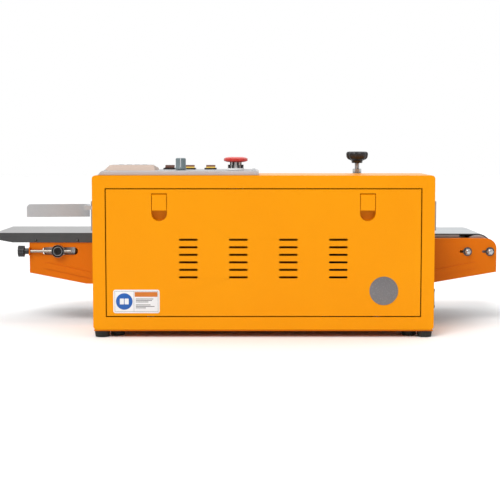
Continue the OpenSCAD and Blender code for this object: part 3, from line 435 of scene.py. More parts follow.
def make_finishes(tones):
    """Every material, by the record's slot name and by the names that this file adds."""
    along = (0.015, 1.0, 1.0)
    across = (1.0, 0.015, 1.0)
    belt_low, belt_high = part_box("conveyor_belt")
    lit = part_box("heat_switch")[1].z - 3.6 * MM
    unlit = lit - 9.0 * MM
    collar_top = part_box("control_panel")[1].z + 3.1 * MM
    grip_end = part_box("conveyor_side_rear")[0].x - 0.2 * MM
    # Where the painted dark reflection on the tray's flange begins.
    flange_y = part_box("infeed_tray")[0].y + 4.3 * MM
    recipes = {
        "orange_paint": (powder_coat, tones.housing, tones.housing_shade),
        "amber_paint": (powder_coat, tones.chassis, darker(tones.chassis, 0.85)),
        "stainless": (brushed, tones.steel, along),
        "zinc_steel": (plated, (0.56, 0.57, 0.58), 0.26),
        "turned_steel": (turned, (0.60, 0.60, 0.61)),
        "dark_steel": (plated, (0.12, 0.12, 0.125), 0.34),
        "brass_blocks": (brushed, (0.60, 0.42, 0.17), along, 0.32),
        "aluminium_blocks": (brushed, (0.66, 0.67, 0.68), across, 0.30),
        "seal_band": (woven, tones.band, 0.7 * MM, 0.42, 0.6),
        "belt_pvc": (belt_with_painted_shade, tones.belt, belt_low.y, belt_high.y),
        "tray_steel": (folded_tray, tones.steel, flange_y),
        # Painted light: the guide bar gets a lighter copy of the stainless, standing in for the brighter
        # look of the bar under the lamps.
        "bar_steel": (brushed, (0.62, 0.64, 0.66), along, 0.34),
        "black_rubber": (rubber, tones.rubber),
        "press_rubber": (rubber, (0.05, 0.05, 0.052)),
        "black_plastic": (moulded, (0.013, 0.013, 0.014), 0.32),
        "grey_plastic": (moulded, tones.plug, 0.20, 500.0, 0.6),
        "knob_plastic": (moulded, tones.knob, 0.30, 700.0),
        "panel_white": (moulded, tones.panel, 0.30),
        "collar_white": (two_tone, (0.96, 0.96, 0.95), (0.045, 0.045, 0.048), collar_top),
        "stem_white": (moulded, (0.92, 0.92, 0.91), 0.34),
        # Painted shade: a near-black disc stands in for the shade inside the axle bores.
        "bore_black": (moulded, (0.010, 0.009, 0.009), 0.5, 600.0, 0.2),
        "screw_steel": (capped, (0.38, 0.35, 0.31), grip_end),
        "controller_beige": (moulded, tones.controller, 0.42),
        "rocker_amber": (lit_rocker, tones.rocker, lit, lit + 1.2 * MM),
        "estop_red": (moulded, tones.stop, 0.22, 400.0, 0.6),
        "motor_paint": (powder_coat, (0.07, 0.075, 0.08), (0.05, 0.055, 0.06)),
        "label_white": (moulded, (0.84, 0.84, 0.85), 0.28, 400.0),
        "label_blue": (moulded, (0.005, 0.10, 0.42), 0.40, 400.0),
        "label_orange": (moulded, (0.62, 0.17, 0.01), 0.40, 400.0),
        "label_grey": (moulded, (0.30, 0.31, 0.33), 0.30, 400.0),
        "display_black": (moulded, (0.012, 0.006, 0.008), 0.08, 300.0, 0.7),
        "digit_red": (glowing, (0.90, 0.03, 0.01)),
        "digit_green": (glowing, (0.08, 0.75, 0.05)),
        "rocker_dark": (lit_rocker, darker(tones.rocker, 0.6), unlit, unlit + 1.0 * MM),
    }
    for name, (make, *values) in recipes.items():
        FINISHES[name] = make(name, *values)


# ---- Mesh tools ----

def turned_to(axis):
    """The rotation that takes +Z to an axis: X, Y or Z."""
    return {"X": Matrix.Rotation(math.pi / 2, 4, "Y"),
            "Y": Matrix.Rotation(-math.pi / 2, 4, "X"),
            "Z": Matrix.Identity(4)}[axis]


def added(bm, before):
    """The vertices that weren't there before."""
    return [v for v in bm.verts if v not in before]


def rim_of(verts):
    """Every edge that meets the vertices."""
    return list({e for v in verts for e in v.link_edges})


def box_between(bm, low, high):
    """A sharp box between two corners. Returns its vertices."""
    low = Vector(low)
    high = Vector(high)
    made = bmesh.ops.create_cube(bm, size=1.0)["verts"]
    bmesh.ops.scale(bm, vec=high - low, verts=made)
    bmesh.ops.translate(bm, vec=(low + high) / 2, verts=made)
    return made


def round_off(bm, edges, width, segments):
    """Rounds edges."""
    bmesh.ops.bevel(bm, geom=edges, offset=width, segments=segments, affect="EDGES", profile=0.5,
                    material=-1)


def block(bm, low, high, rounding=0.0, segments=2):
    """A block between two corners, with its edges rounded."""
    made = box_between(bm, low, high)
    if rounding > 0.0:
        round_off(bm, rim_of(made), rounding, segments)


def plate(bm, low, high, corner, through, steps=6, edge=0.0):
    """A plate with four rounded corners. through is the axis (0, 1 or 2) of its thickness."""
    made = box_between(bm, low, high)
    posts = [e for e in rim_of(made)
             if abs(e.verts[0].co[through] - e.verts[1].co[through]) > 1e-7]
    before = {v for v in bm.verts if v not in made}
    round_off(bm, posts, corner, steps)
    if edge > 0.0:
        rim = [e for e in bm.edges if e.verts[0] not in before and e.calc_face_angle(0.0) > 0.8]
        round_off(bm, rim, edge, 2)


def lathe(bm, outline, centre, axis="Z", steps=32):
    """A turned solid from (radius, height) points along an axis through centre."""
    before = set(bm.verts)
    line = [bm.verts.new((radius, 0.0, height)) for radius, height in outline]
    ribs = [bm.edges.new(pair) for pair in zip(line, line[1:])]
    bmesh.ops.spin(bm, geom=line + ribs, cent=(0.0, 0.0, 0.0), axis=(0.0, 0.0, 1.0), angle=math.tau,
                   steps=steps, use_merge=True)
    bmesh.ops.remove_doubles(bm, verts=added(bm, before), dist=1e-7)
    made = added(bm, before)
    bmesh.ops.transform(bm, matrix=Matrix.Translation(centre) @ turned_to(axis), verts=made)
    return made


def sweep_coil(bm, centre, radius, wire, low, high, turns, sides=8, steps=24):
    """A round wire wound about a vertical axis, closed at both ends."""
    before = set(bm.verts)
    ring = bmesh.ops.create_circle(bm, cap_ends=False, radius=wire, segments=sides)["verts"]
    bmesh.ops.rotate(bm, cent=(0.0, 0.0, 0.0), matrix=Matrix.Rotation(math.pi / 2, 3, "X"), verts=ring)
    bmesh.ops.translate(bm, vec=(radius, 0.0, 0.0), verts=ring)
    rim = rim_of(ring)
    bm.faces.new(ring)
    count = int(turns * steps)
    end = bmesh.ops.spin(bm, geom=ring + rim, cent=(0.0, 0.0, 0.0), axis=(0.0, 0.0, 1.0),
                         angle=math.tau * turns, steps=count,
                         dvec=(0.0, 0.0, (high - low) / count))["geom_last"]
    bmesh.ops.contextual_create(bm, geom=[g for g in end if isinstance(g, bmesh.types.BMEdge)])
    bmesh.ops.translate(bm, vec=Vector(centre) + Vector((0.0, 0.0, low)), verts=added(bm, before))


def finished(name, bm, finish, body, sharp=35.0):
    """Turns a bmesh into a named piece on a body, with its sharp edges marked and its finish set."""
    bmesh.ops.remove_doubles(bm, verts=bm.verts, dist=1e-7)
    bmesh.ops.recalc_face_normals(bm, faces=bm.faces)
    for face in bm.faces:
        face.smooth = True
    for edge in bm.edges:
        edge.smooth = edge.calc_face_angle(0.0) < math.radians(sharp)
    mesh = bpy.data.meshes.new(name)
    bm.to_mesh(mesh)
    bm.free()
    piece = bpy.data.objects.new(name, mesh)
    bpy.context.scene.collection.objects.link(piece)
    piece.data.materials.append(FINISHES[finish])
    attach(piece, body)
    return piece


def soften(node, width, angle=35.0, segments=2):
    """Joins a CAD node's loose triangles and rounds its sharp edges."""
    piece = frame["nodes"][node]
    weld = piece.modifiers.new("Weld", "WELD")
    weld.merge_threshold = 0.001 * MM
    bevel = piece.modifiers.new("Bevel", "BEVEL")
    bevel.width = width
    bevel.segments = segments
    bevel.limit_method = "ANGLE"
    bevel.angle_limit = math.radians(angle)
    bevel.harden_normals = True
    bevel.use_clamp_overlap = True


class Maker:
    """What every operator of the sealer shares."""
    bl_options = {"REGISTER", "UNDO"}

    def execute(self, context):
        scene = context.scene
        self.make(scene.sealer_sizes, scene.sealer_colours, scene.sealer_studio)
        return {"FINISHED"}


class SEALER_OT_finishes(Maker, bpy.types.Operator):
    """Gives every frame part its finish and softens the edges that show"""
    bl_idname = "sealer.finishes"
    bl_label = "Finishes"

    def make(self, sizes, colours, studio):
        make_finishes(colours)
        own = {"speed_knob": "knob_plastic", "estop_base": "collar_white", "power_switch": "rocker_dark",
               "infeed_tray": "tray_steel", "estop_stem": "stem_white", "bag_guide_bar": "bar_steel",
               "tension_screw_rear": "screw_steel", "tension_screw_front": "screw_steel"}
        for node, piece in frame["nodes"].items():
            finish = FINISHES[own.get(node, NODE_SLOT[node])]
            for slot in piece.material_slots:
                slot.material = finish
        for node in ("rear_frame", "housing_shell", "front_panel", "upper_guard", "lower_guard",
                     "mechanism_plate", "bag_guide_bar", "infeed_tray", "base_pan"):
            soften(node, sizes.deburr)
        for node in ("conveyor_side_rear", "conveyor_side_front"):
            soften(node, sizes.pressed, segments=3)
        for node in ("control_panel", "temperature_controller", "hole_plug", "power_inlet"):
            soften(node, sizes.mould, segments=3)
        for node in ("latch_left", "latch_right", "rear_door"):
            soften(node, sizes.deburr)


class SEALER_OT_label(Maker, bpy.types.Operator):
    """Makes the plain label on the door: a plate with ruled lines, a disc, a bar and rows of dashes"""
    bl_idname = "sealer.label"
    bl_label = "Door label"

    def make(self, sizes, colours, studio):
        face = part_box("rear_frame")[0].y
        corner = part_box("rear_door")[0]
        left = corner.x + sizes.label_x
        low = corner.z + sizes.label_z
        right = left + sizes.label_w
        top = low + sizes.label_h
        front = face - sizes.label_t
        print_y = front - 0.06 * MM
        bm = bmesh.new()
        plate(bm, (left, front, low), (right, face + 0.05 * MM, top), 3.6 * MM, 1, 8, 0.1 * MM)
        finished("label_plate", bm, "label_white", "door")

        bm = bmesh.new()
        split = left + 32.4 * MM
        inset = 2.3 * MM
        rule = 0.35 * MM
        for x0, x1, z0, z1 in ((left + inset, right - inset, low + inset, low + inset + rule),
                               (left + inset, right - inset, top - inset - rule, top - inset),
                               (left + inset, left + inset + rule, low + inset, top - inset),
                               (right - inset - rule, right - inset, low + inset, top - inset),
                               (split, split + rule, low + inset, top - inset)):
            block(bm, (x0, print_y, z0), (x1, front, z1))
        margin = 3.0 * MM
        stroke = 0.95 * MM
        start = split + margin
        room = right - inset - margin - start
        row = top - 14.2 * MM
        for share in (0.86, 0.80, 0.62, 0.0, 0.72, 0.92, 0.50):
            if share > 0.0:
                end = start + room * share
                plate(bm, (start, print_y, row - stroke), (end, front, row), 0.4 * MM, 1, 2)
            row -= 2.35 * MM
        finished("label_lines", bm, "black_plastic", "door")

        bm = bmesh.new()
        middle = Vector(((left + inset + split) / 2, 0.0, (low + top) / 2))
        outline = ((0.0, print_y), (12.9 * MM, print_y), (13.1 * MM, front), (0.0, front))
        lathe(bm, outline, middle, "Y", 48)
        finished("label_disc", bm, "label_blue", "door")

        bm = bmesh.new()
        plate(bm, (split + 1.4 * MM, print_y, top - 11.2 * MM),
              (right - inset - 1.0 * MM, front, top - 3.6 * MM), 0.6 * MM, 1, 3)
        finished("label_bar", bm, "label_orange", "door")

        bm = bmesh.new()
        mark = print_y - 0.05 * MM
        half_tall = 4.6 * MM
        near = 0.5 * MM
        far = 7.0 * MM
        low_z = middle.z - half_tall
        high_z = middle.z + half_tall
        for x0, x1 in ((middle.x - far, middle.x - near), (middle.x + near, middle.x + far)):
            plate(bm, (x0, mark, low_z), (x1, print_y, high_z), 0.8 * MM, 1, 3)
        finished("label_mark", bm, "label_white", "door")


class SEALER_OT_controller(Maker, bpy.types.Operator):
    """Makes the temperature controller's face: its plate, display window, digits and keys"""
    bl_idname = "sealer.controller"
    bl_label = "Controller face"

    def make(self, sizes, colours, studio):
        low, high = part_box("temperature_controller")
        rear = low.y + 22.0 * MM
        run = high.y - rear
        drop = 5.5 * MM
        spot = Vector(((low.x + high.x) / 2 + 3.0 * MM, rear + run / 2, high.z - drop / 2))
        self.place = Matrix.Translation(spot) @ Matrix.Rotation(-math.atan2(drop, run), 4, "X")
        wide = (high.x - low.x) / 2 - 7.0 * MM
        deep = run / 2 - 4.0 * MM

        bm = bmesh.new()
        plate(bm, (-wide, -deep, -0.3 * MM), (wide, deep, 0.7 * MM), 3.0 * MM, 2, 6, 0.2 * MM)
        self.lay("controller_plate", bm, "label_grey", "grey_plastic")

        bm = bmesh.new()
        plate(bm, (-24.0 * MM, -4.0 * MM, 0.6 * MM), (24.0 * MM, deep - 4.0 * MM, 1.1 * MM), 1.5 * MM, 2, 4,
              0.15 * MM)
        self.lay("controller_window", bm, "display_black", "black_plastic")

        for name, finish, base, tall in (("controller_reading", "digit_red", 11.0 * MM, 10.0 * MM),
                                         ("controller_target", "digit_green", -1.5 * MM, 8.0 * MM)):
            bm = bmesh.new()
            for index, digit in enumerate("180"):
                self.seven_segments(bm, digit, (index - 1) * tall * 1.15, base, tall)
            self.lay(name, bm, finish, "rocker_amber")

        bm = bmesh.new()
        key_pitch = 12.5 * MM
        key_half = 4.2 * MM
        for index in range(4):
            x = (index - 1.5) * key_pitch
            plate(bm, (x - key_half, 7.0 * MM - deep, 0.5 * MM), (x + key_half, 14.5 * MM - deep, 1.4 * MM),
                  1.2 * MM, 2, 4, 0.3 * MM)
        self.lay("controller_keys", bm, "black_plastic", "black_plastic")

    def seven_segments(self, bm, digit, x, y, tall):
        """One digit as bars: top, upper right, lower right, bottom, lower left, upper left, middle."""
        lit = {"0": "abcdef", "1": "bc", "8": "abcdefg"}[digit]
        half = tall * 0.25
        stroke = tall * 0.055
        spots = {"a": (0, 2, 1), "g": (0, 0, 1), "d": (0, -2, 1),
                 "b": (1, 1, 0), "c": (1, -1, 0), "e": (-1, -1, 0), "f": (-1, 1, 0)}
        for name in lit:
            across, up, level = spots[name]
            cx = x + across * half
            cy = y + up * half
            long = half - stroke * 1.4
            dx, dy = (long, stroke) if level else (stroke, long)
            block(bm, (cx - dx, cy - dy, 1.0 * MM), (cx + dx, cy + dy, 1.2 * MM))

    def lay(self, name, bm, finish, slot):
        """Lays a flat piece on the controller's sloping face."""
        bmesh.ops.transform(bm, matrix=self.place, verts=bm.verts)
        finished(name, bm, finish, "frame")


SPEED_KNOB_R = 8.75 * MM


def speed_knob_centre():
    """The speed knob's axis, at floor height."""
    low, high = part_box("speed_knob")
    return Vector(((low.x + high.x) / 2, high.y - SPEED_KNOB_R, 0.0))


class SEALER_OT_panel_overlay(Maker, bpy.types.Operator):
    """Makes the panel's grey overlay with the speed scale and the marks by the switches"""
    bl_idname = "sealer.panel_overlay"
    bl_label = "Panel overlay"

    def make(self, sizes, colours, studio):
        low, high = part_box("control_panel")
        top = high.z + 0.25 * MM
        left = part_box("temperature_controller")[1].x + 3.0 * MM
        bm = bmesh.new()
        plate(bm, (left, low.y + 5.0 * MM, high.z - 0.2 * MM), (high.x - 3.5 * MM, high.y - 5.0 * MM, top),
              4.0 * MM, 2, 8)
        finished("panel_overlay", bm, "label_grey", "frame")

        ink = top + 0.06 * MM
        scale_r = 11.0 * MM
        scale_step = 27.0
        bm = bmesh.new()
        for step in range(11):
            long = (3.6 if step % 5 == 0 else 2.2) * MM
            before = set(bm.verts)
            block(bm, (-0.3 * MM, scale_r, top), (0.3 * MM, scale_r + long, ink))
            turn = Matrix.Rotation(math.radians(315.0 - scale_step * step), 4, "Z")
            spot = Matrix.Translation(speed_knob_centre())
            bmesh.ops.transform(bm, matrix=spot @ turn, verts=added(bm, before))
        for node in ("power_switch", "heat_switch", "fan_switch"):
            box_low, box_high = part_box(node)
            x = (box_low.x + box_high.x) / 2
            y = box_low.y - 10.5 * MM
            dot = ((0.0, top), (1.5 * MM, top), (1.5 * MM, ink), (0.0, ink))
            lathe(bm, dot, (x - 4.0 * MM, y, 0.0), "Z", 16)
            block(bm, (x + 3.4 * MM, y - 1.6 * MM, top), (x + 4.0 * MM, y + 1.6 * MM, ink))
        finished("panel_marks", bm, "label_white", "frame")


class SEALER_OT_speed_knob(Maker, bpy.types.Operator):
    """Makes the fluted speed knob with its pointer line"""
    bl_idname = "sealer.speed_knob"
    bl_label = "Speed knob"

    def make(self, sizes, colours, studio):
        low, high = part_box("speed_knob")
        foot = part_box("control_panel")[1].z + 0.6 * MM
        radius = SPEED_KNOB_R
        centre = speed_knob_centre()
        top = high.z
        outline = ((0.0, foot), (7.6 * MM, foot), (radius, foot + 0.8 * MM), (radius, foot + 3.2 * MM),
                   (8.2 * MM, foot + 4.0 * MM), (8.2 * MM, top - 2.0 * MM), (7.9 * MM, top - 0.9 * MM),
                   (7.1 * MM, top - 0.2 * MM), (6.4 * MM, top), (5.9 * MM, top - 0.5 * MM),
                   (0.0, top - 0.5 * MM))
        bm = bmesh.new()
        made = lathe(bm, outline, (0.0, 0.0, 0.0), "Z", sizes.flutes * 6)
        for vert in made:
            if foot + 3.5 * MM < vert.co.z < top - 0.6 * MM:
                wave = 0.5 + 0.5 * math.cos(sizes.flutes * math.atan2(vert.co.y, vert.co.x))
                vert.co.xy *= 1.0 - 0.06 * wave ** 2
        bmesh.ops.translate(bm, vec=centre, verts=bm.verts)
        knob = finished("speed_knob_cap", bm, "knob_plastic", "speed_knob", 50.0)
        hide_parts("speed_knob")

        bm = bmesh.new()
        x0 = centre.x - 0.5 * MM
        x1 = centre.x + 0.5 * MM
        for y0, y1, z0, z1 in ((-8.2 * MM, -1.5 * MM, top - 0.6 * MM, top - 0.15 * MM),
                               (-8.45 * MM, -7.4 * MM, foot + 4.2 * MM, top - 0.3 * MM)):
            block(bm, (x0, centre.y + y0, z0), (x1, centre.y + y1, z1), 0.1 * MM, 1)
        finished("speed_knob_pointer", bm, "label_white", "speed_knob")

        bm = bmesh.new()
        lathe(bm, ((2.9 * MM, low.z), (2.9 * MM, foot + 0.2 * MM), (0.0, foot + 0.2 * MM)),
              centre, "Z", 24)
        bmesh.ops.contextual_create(bm, geom=[e for e in bm.edges if e.is_boundary])
        finished("speed_knob_shaft", bm, "turned_steel", "speed_knob")


class SEALER_OT_stop_ribs(Maker, bpy.types.Operator):
    """Makes the dark ribs on the emergency stop's stem, in line with the posts of its base"""
    bl_idname = "sealer.stop_ribs"
    bl_label = "Stop button ribs"

    def make(self, sizes, colours, studio):
        low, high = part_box("estop_stem")
        centre = Vector(((low.x + high.x) / 2, (low.y + high.y) / 2, 0.0))
        radius = (high.x - low.x) / 2
        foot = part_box("estop_base")[1].z + 0.1 * MM
        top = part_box("estop_head")[0].z - 0.1 * MM
        bm = bmesh.new()
        for index in range(8):
            before = set(bm.verts)
            block(bm, (radius - 0.2 * MM, -1.5 * MM, foot), (radius + 0.65 * MM, 1.5 * MM, top), 0.2 * MM)
            turn = Matrix.Translation(centre) @ Matrix.Rotation(math.radians(22.5 + 45.0 * index), 4, "Z")
            bmesh.ops.transform(bm, matrix=turn, verts=added(bm, before))
        finished("estop_ribs", bm, "black_plastic", "estop_stem")


class SEALER_OT_pressure(Maker, bpy.types.Operator):
    """Makes the pressure screw: its lobed knob, threaded rod, nut and coil spring"""
    bl_idname = "sealer.pressure"
    bl_label = "Pressure screw"

    def make(self, sizes, colours, studio):
        low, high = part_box("pressure_knob")
        centre = Vector(((low.x + high.x) / 2, (low.y + high.y) / 2, 0.0))
        rim = (high.x - low.x) / 2
        outline = [(0.0, -19.2), (8.4, -19.2), (9.0, -18.6), (9.4, -15.6), (11.6, -14.4), (15.2, -12.8),
                   (17.2, -10.6), (18.0, -8.0), (18.3, -5.2), (18.3, -3.4), (17.6, -1.6), (15.8, -0.4),
                   (13.0, 0.0), (8.0, 0.0), (7.6, -0.2), (7.3, -0.7), (0.0, -0.7)]
        bm = bmesh.new()
        made = lathe(bm, [(r * MM, high.z + z * MM) for r, z in outline], (0.0, 0.0, 0.0), "Z", 120)
        scoop_at = rim + 4.6 * MM
        scoop_r = 7.0 * MM
        hub = 9.6 * MM
        blend = 6.0 * MM
        lobe = math.pi / 3
        for vert in made:
            reach = vert.co.xy.length
            if reach < hub:
                continue
            off = math.atan2(vert.co.y, vert.co.x) % lobe - lobe / 2
            side = scoop_at * math.sin(off)
            if abs(side) < scoop_r:
                cut = scoop_at * math.cos(off) - math.sqrt(scoop_r ** 2 - side ** 2)
                share = min(1.0, cut / rim)
                vert.co.xy *= 1.0 - (1.0 - share) * min(1.0, (reach - hub) / blend)
        bmesh.ops.translate(bm, vec=centre, verts=bm.verts)
        knob = finished("pressure_knob_head", bm, "black_plastic", "pressure_knob", 40.0)
        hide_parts("pressure_knob")

        bm = bmesh.new()
        core = 3.6 * MM
        crest = 4.2 * MM
        pitch = sizes.thread_pitch
        outline = [(0.0, low.z), (core - 0.4 * MM, low.z), (core, low.z + 0.5 * MM)]
        z = low.z + 1.0 * MM
        while z < high.z - 20.0 * MM:
            outline += [(core, z), (crest, z + pitch * 0.35), (crest, z + pitch * 0.5),
                        (core, z + pitch * 0.85)]
            z += pitch
        end = high.z - 0.4 * MM
        outline += [(core, high.z - 1.0 * MM), (core - 0.4 * MM, end), (0.0, end)]
        lathe(bm, outline, centre, "Z", 28)
        finished("pressure_rod", bm, "turned_steel", "pressure_knob", 25.0)

        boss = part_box("pressure_bracket")[1].z
        bm = bmesh.new()
        lathe(bm, ((4.3 * MM, boss - 0.1 * MM), (7.4 * MM, boss - 0.1 * MM), (7.4 * MM, boss + 4.2 * MM),
                   (6.7 * MM, boss + 4.8 * MM), (4.3 * MM, boss + 4.8 * MM), (4.3 * MM, boss - 0.1 * MM)),
              centre, "Z", 6)
        finished("pressure_nut", bm, "zinc_steel", "frame", 30.0)

        spring_low, spring_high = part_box("pressure_spring")
        radius = (spring_high.x - spring_low.x) / 2 - sizes.wire
        bm = bmesh.new()
        sweep_coil(bm, centre, radius, sizes.wire, spring_low.z + sizes.wire, spring_high.z - sizes.wire,
                   sizes.coils)
        coil = finished("pressure_coil", bm, "zinc_steel", "frame", 60.0)
        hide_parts("pressure_spring")
        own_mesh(coil)


class SEALER_OT_conveyor_fittings(Maker, bpy.types.Operator):
    """Makes the nuts and washers of the roller bolts, and the rings and the near-black discs of painted
    shade in the bores on the tension axle's ends
    """
    bl_idname = "sealer.conveyor_fittings"
    bl_label = "Conveyor fittings"

    def make(self, sizes, colours, studio):
        low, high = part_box("roller_bolts")
        stand = 7.6 * MM
        inset = 7.5 * MM
        z = (low.z + high.z) / 2
        nuts = bmesh.new()
        washers = bmesh.new()
        nut = ((0.0, 1.9), (4.9, 1.9), (5.6, 2.4), (5.6, 4.6), (5.0, 5.1), (0.0, 5.1))
        dome = ((0.0, 5.0), (4.3, 5.0), (4.2, 5.9), (3.7, 6.7), (2.8, 7.25), (1.5, 7.55), (0.0, 7.6))
        washer = ((2.0, 0.0), (7.5, 0.0), (7.6, 0.5), (7.3, 1.0), (5.4, 1.1), (5.2, 1.9), (2.0, 2.0),
                  (2.0, 0.0))
        for x in (low.x + inset, high.x - inset):
            for face, out in ((low.y + stand, -1.0), (high.y - stand, 1.0)):
                for bm, outline, steps in ((nuts, nut, 6), (nuts, dome, 24), (washers, washer, 32)):
                    points = [(r * MM, face + out * y * MM) for r, y in outline]
                    lathe(bm, points, (x, 0.0, z), "Y", steps)
        made = finished("bolt_nuts", nuts, "zinc_steel", "frame", 25.0)
        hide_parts("roller_bolts")
        finished("bolt_washers", washers, "dark_steel", "frame", 30.0)

        low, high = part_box("tension_axle")
        centre = ((low.x + high.x) / 2, 0.0, (low.z + high.z) / 2)
        ring = ((6.9, -0.6), (10.4, -0.6), (10.7, -0.2), (10.5, 0.0), (7.6, 0.0), (6.9, -0.6))
        # The bore disc is painted shade: near black where the axle's bore would be dark.
        bore_shade_disc = ((0.0, 0.05), (2.6, 0.05), (3.1, 0.3), (5.6, 0.3), (6.6, 0.05), (7.0, 0.05), (7.0, -0.2),
                (0.0, -0.2))
        rings = bmesh.new()
        bore_shade_discs = bmesh.new()
        for face, out in ((low.y, -1.0), (high.y, 1.0)):
            for bm, outline, steps in ((rings, ring, 40), (bore_shade_discs, bore_shade_disc, 32)):
                lathe(bm, [(r * MM, face + out * y * MM) for r, y in outline], centre, "Y", steps)
        finished("collar_rims", rings, "zinc_steel", "tension_axle", 30.0)
        finished("collar_bore_shade", bore_shade_discs, "bore_black", "tension_axle", 30.0)


class SEALER_OT_fasteners(Maker, bpy.types.Operator):
    """Makes the screws that hold the control panel, the lower guard and the mains inlet"""
    bl_idname = "sealer.fasteners"
    bl_label = "Fasteners"

    def make(self, sizes, colours, studio):
        bm = bmesh.new()
        low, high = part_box("control_panel")
        margin = 8.0 * MM
        for x in (low.x + 12.0 * MM, high.x - margin):
            for y in (low.y + margin, high.y - margin):
                self.screw(bm, (x, y, high.z), "Z", 2.6 * MM, 1.3 * MM)
        finished("panel_screws", bm, "zinc_steel", "frame")

        bm = bmesh.new()
        low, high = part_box("lower_guard")
        outer = 14.0 * MM
        inner = 150.0 * MM
        middle = 31.5 * MM
        screw_z = low.z + 21.0 * MM
        for x in (low.x + outer, low.x + inner, middle, high.x - inner, high.x - outer):
            self.screw(bm, (x, high.y, screw_z), "Y", 3.4 * MM, 1.8 * MM)
        finished("guard_screws", bm, "zinc_steel", "frame")

        bm = bmesh.new()
        low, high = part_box("power_inlet")
        for z in (low.z + 3.2 * MM, high.z - 3.2 * MM):
            for y in (low.y + 3.4 * MM, high.y - 3.4 * MM):
                self.screw(bm, (high.x, y, z), "X", 1.9 * MM, 0.9 * MM)
        finished("inlet_screws", bm, "dark_steel", "frame")

    def screw(self, bm, place, axis, radius, height):
        """A button-head screw with a hexagon socket, its head towards +axis."""
        before = set(bm.verts)
        ring = bmesh.ops.create_circle(bm, cap_ends=False, radius=radius, segments=20)["verts"]
        loop = rim_of(ring)
        for scale, rise in ((1.0, height * 0.35), (0.92, height * 0.35), (0.78, height * 0.22),
                            (0.78, height * 0.08)):
            out = bmesh.ops.extrude_edge_only(bm, edges=loop)["geom"]
            verts = [g for g in out if isinstance(g, bmesh.types.BMVert)]
            loop = [g for g in out if isinstance(g, bmesh.types.BMEdge)]
            bmesh.ops.translate(bm, vec=(0.0, 0.0, rise), verts=verts)
            bmesh.ops.scale(bm, vec=(scale, scale, 1.0), verts=verts)
        hexagon = bmesh.ops.create_circle(bm, cap_ends=False, radius=radius * 0.44, segments=6)["verts"]
        bmesh.ops.translate(bm, vec=(0.0, 0.0, height), verts=hexagon)
        inner = rim_of(hexagon)
        bmesh.ops.bridge_loops(bm, edges=loop + inner)
        out = bmesh.ops.extrude_edge_only(bm, edges=inner)["geom"]
        floor = [g for g in out if isinstance(g, bmesh.types.BMVert)]
        bmesh.ops.translate(bm, vec=(0.0, 0.0, -height * 0.7), verts=floor)
        bmesh.ops.contextual_create(bm, geom=[g for g in out if isinstance(g, bmesh.types.BMEdge)])
        bmesh.ops.contextual_create(bm, geom=[e for e in rim_of(ring) if e.is_boundary])
        bmesh.ops.transform(bm, matrix=Matrix.Translation(place) @ turned_to(axis), verts=added(bm, before))


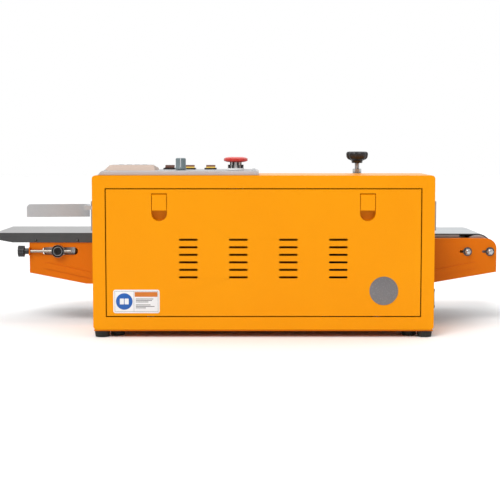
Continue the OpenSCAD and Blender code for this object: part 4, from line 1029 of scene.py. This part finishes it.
class SEALER_OT_stage(Maker, bpy.types.Operator):
    """Sets the floor, the lights and the camera"""
    bl_idname = "sealer.stage"
    bl_label = "Studio"

    def make(self, sizes, colours, studio):
        bm = bmesh.new()
        bmesh.ops.create_grid(bm, x_segments=2, y_segments=2, size=9.0)
        bmesh.ops.translate(bm, vec=(0.0, 0.0, -0.4 * MM), verts=bm.verts)
        mesh = bpy.data.meshes.new("floor")
        bm.to_mesh(mesh)
        bm.free()
        floor = self.put("floor", mesh)
        mesh.materials.append(floor_paper("floor_paper"))
        self.surroundings(studio)
        self.lights(studio)
        self.camera(studio)

    def put(self, name, data):
        """Adds an object to the scene."""
        made = bpy.data.objects.new(name, data)
        bpy.context.scene.collection.objects.link(made)
        return made

    def surroundings(self, studio):
        """White surroundings, dimmer behind the camera."""
        world = bpy.data.worlds.new("studio")
        bpy.context.scene.world = world
        world.use_nodes = True
        sky = Shading(world.node_tree, "Generated")
        dim = (studio.shade, studio.shade, studio.shade)
        tone = sky.tint(sky.axis("Y").ramp(-0.55, 0.05), dim, (1.0, 1.0, 1.0))
        back = world.node_tree.nodes["Background"]
        sky.tree.links.new(tone, back.inputs["Color"])
        back.inputs["Strength"].default_value = studio.sky

    def lights(self, studio):
        """A wide sun and four soft lamps."""
        sun = bpy.data.lights.new("sun", "SUN")
        sun.energy = studio.sun
        sun.angle = math.radians(28.0)
        sunbeam = Vector((0.35, 0.62, -0.80))
        self.put("sun", sun).rotation_euler = sunbeam.to_track_quat("-Z", "Y").to_euler()
        self.lamp("key_light", (-0.9, -1.9, 1.7), (0.0, 0.0, 0.1), 1.6, studio.key)
        self.lamp("fill_light", (1.5, -1.6, 0.9), (0.0, 0.0, 0.1), 1.2, studio.fill)
        self.lamp("top_light", (0.2, 0.3, 2.2), (0.0, 0.0, 0.0), 1.8, studio.key * 0.8)
        self.lamp("front_light", (0.3, 2.0, 1.4), (0.0, 0.0, 0.1), 1.6, studio.fill)

    def lamp(self, name, place, aim, size, power):
        """A square soft light aimed at a point."""
        data = bpy.data.lights.new(name, "AREA")
        data.size = size
        data.energy = power
        lamp = self.put(name, data)
        lamp.location = place
        lamp.rotation_euler = (Vector(aim) - Vector(place)).to_track_quat("-Z", "Y").to_euler()

    def camera(self, studio):
        """The camera behind the machine, a little above it."""
        data = bpy.data.cameras.new("camera")
        data.lens = studio.lens
        data.sensor_width = 36.0
        data.shift_x = studio.shift
        data.clip_end = 40.0
        camera = self.put("camera", data)
        camera.location = studio.eye
        camera.rotation_euler = (math.pi / 2 - studio.pitch, 0.0, 0.0)
        bpy.context.scene.camera = camera
        bpy.context.scene.view_settings.view_transform = "Standard"


MAKERS = (SEALER_OT_finishes, SEALER_OT_label, SEALER_OT_controller, SEALER_OT_panel_overlay,
          SEALER_OT_speed_knob, SEALER_OT_stop_ribs, SEALER_OT_pressure, SEALER_OT_conveyor_fittings,
          SEALER_OT_fasteners, SEALER_OT_stage)


class SEALER_PT_panel(bpy.types.Panel):
    """Lists the sealer's makers"""
    bl_idname = "SEALER_PT_panel"
    bl_label = "Band sealer"
    bl_space_type = "VIEW_3D"
    bl_region_type = "UI"
    bl_category = "Band sealer"

    def draw(self, context):
        for maker in MAKERS:
            self.layout.operator(maker.bl_idname)
        scene = context.scene
        for group in (scene.sealer_sizes, scene.sealer_colours, scene.sealer_studio):
            box = self.layout.box()
            for name in group.__annotations__:
                box.prop(group, name)


CLASSES = (SealerColours, SealerSizes, SealerStudio, *MAKERS, SEALER_PT_panel)


def register():
    for item in CLASSES:
        bpy.utils.register_class(item)
    bpy.types.Scene.sealer_colours = PointerProperty(type=SealerColours)
    bpy.types.Scene.sealer_sizes = PointerProperty(type=SealerSizes)
    bpy.types.Scene.sealer_studio = PointerProperty(type=SealerStudio)


def unregister():
    del bpy.types.Scene.sealer_studio
    del bpy.types.Scene.sealer_sizes
    del bpy.types.Scene.sealer_colours
    for item in reversed(CLASSES):
        bpy.utils.unregister_class(item)


def main():
    register()
    for maker in MAKERS:
        getattr(bpy.ops.sealer, maker.bl_idname.split(".")[1])()


if __name__ == "__main__":
    main()
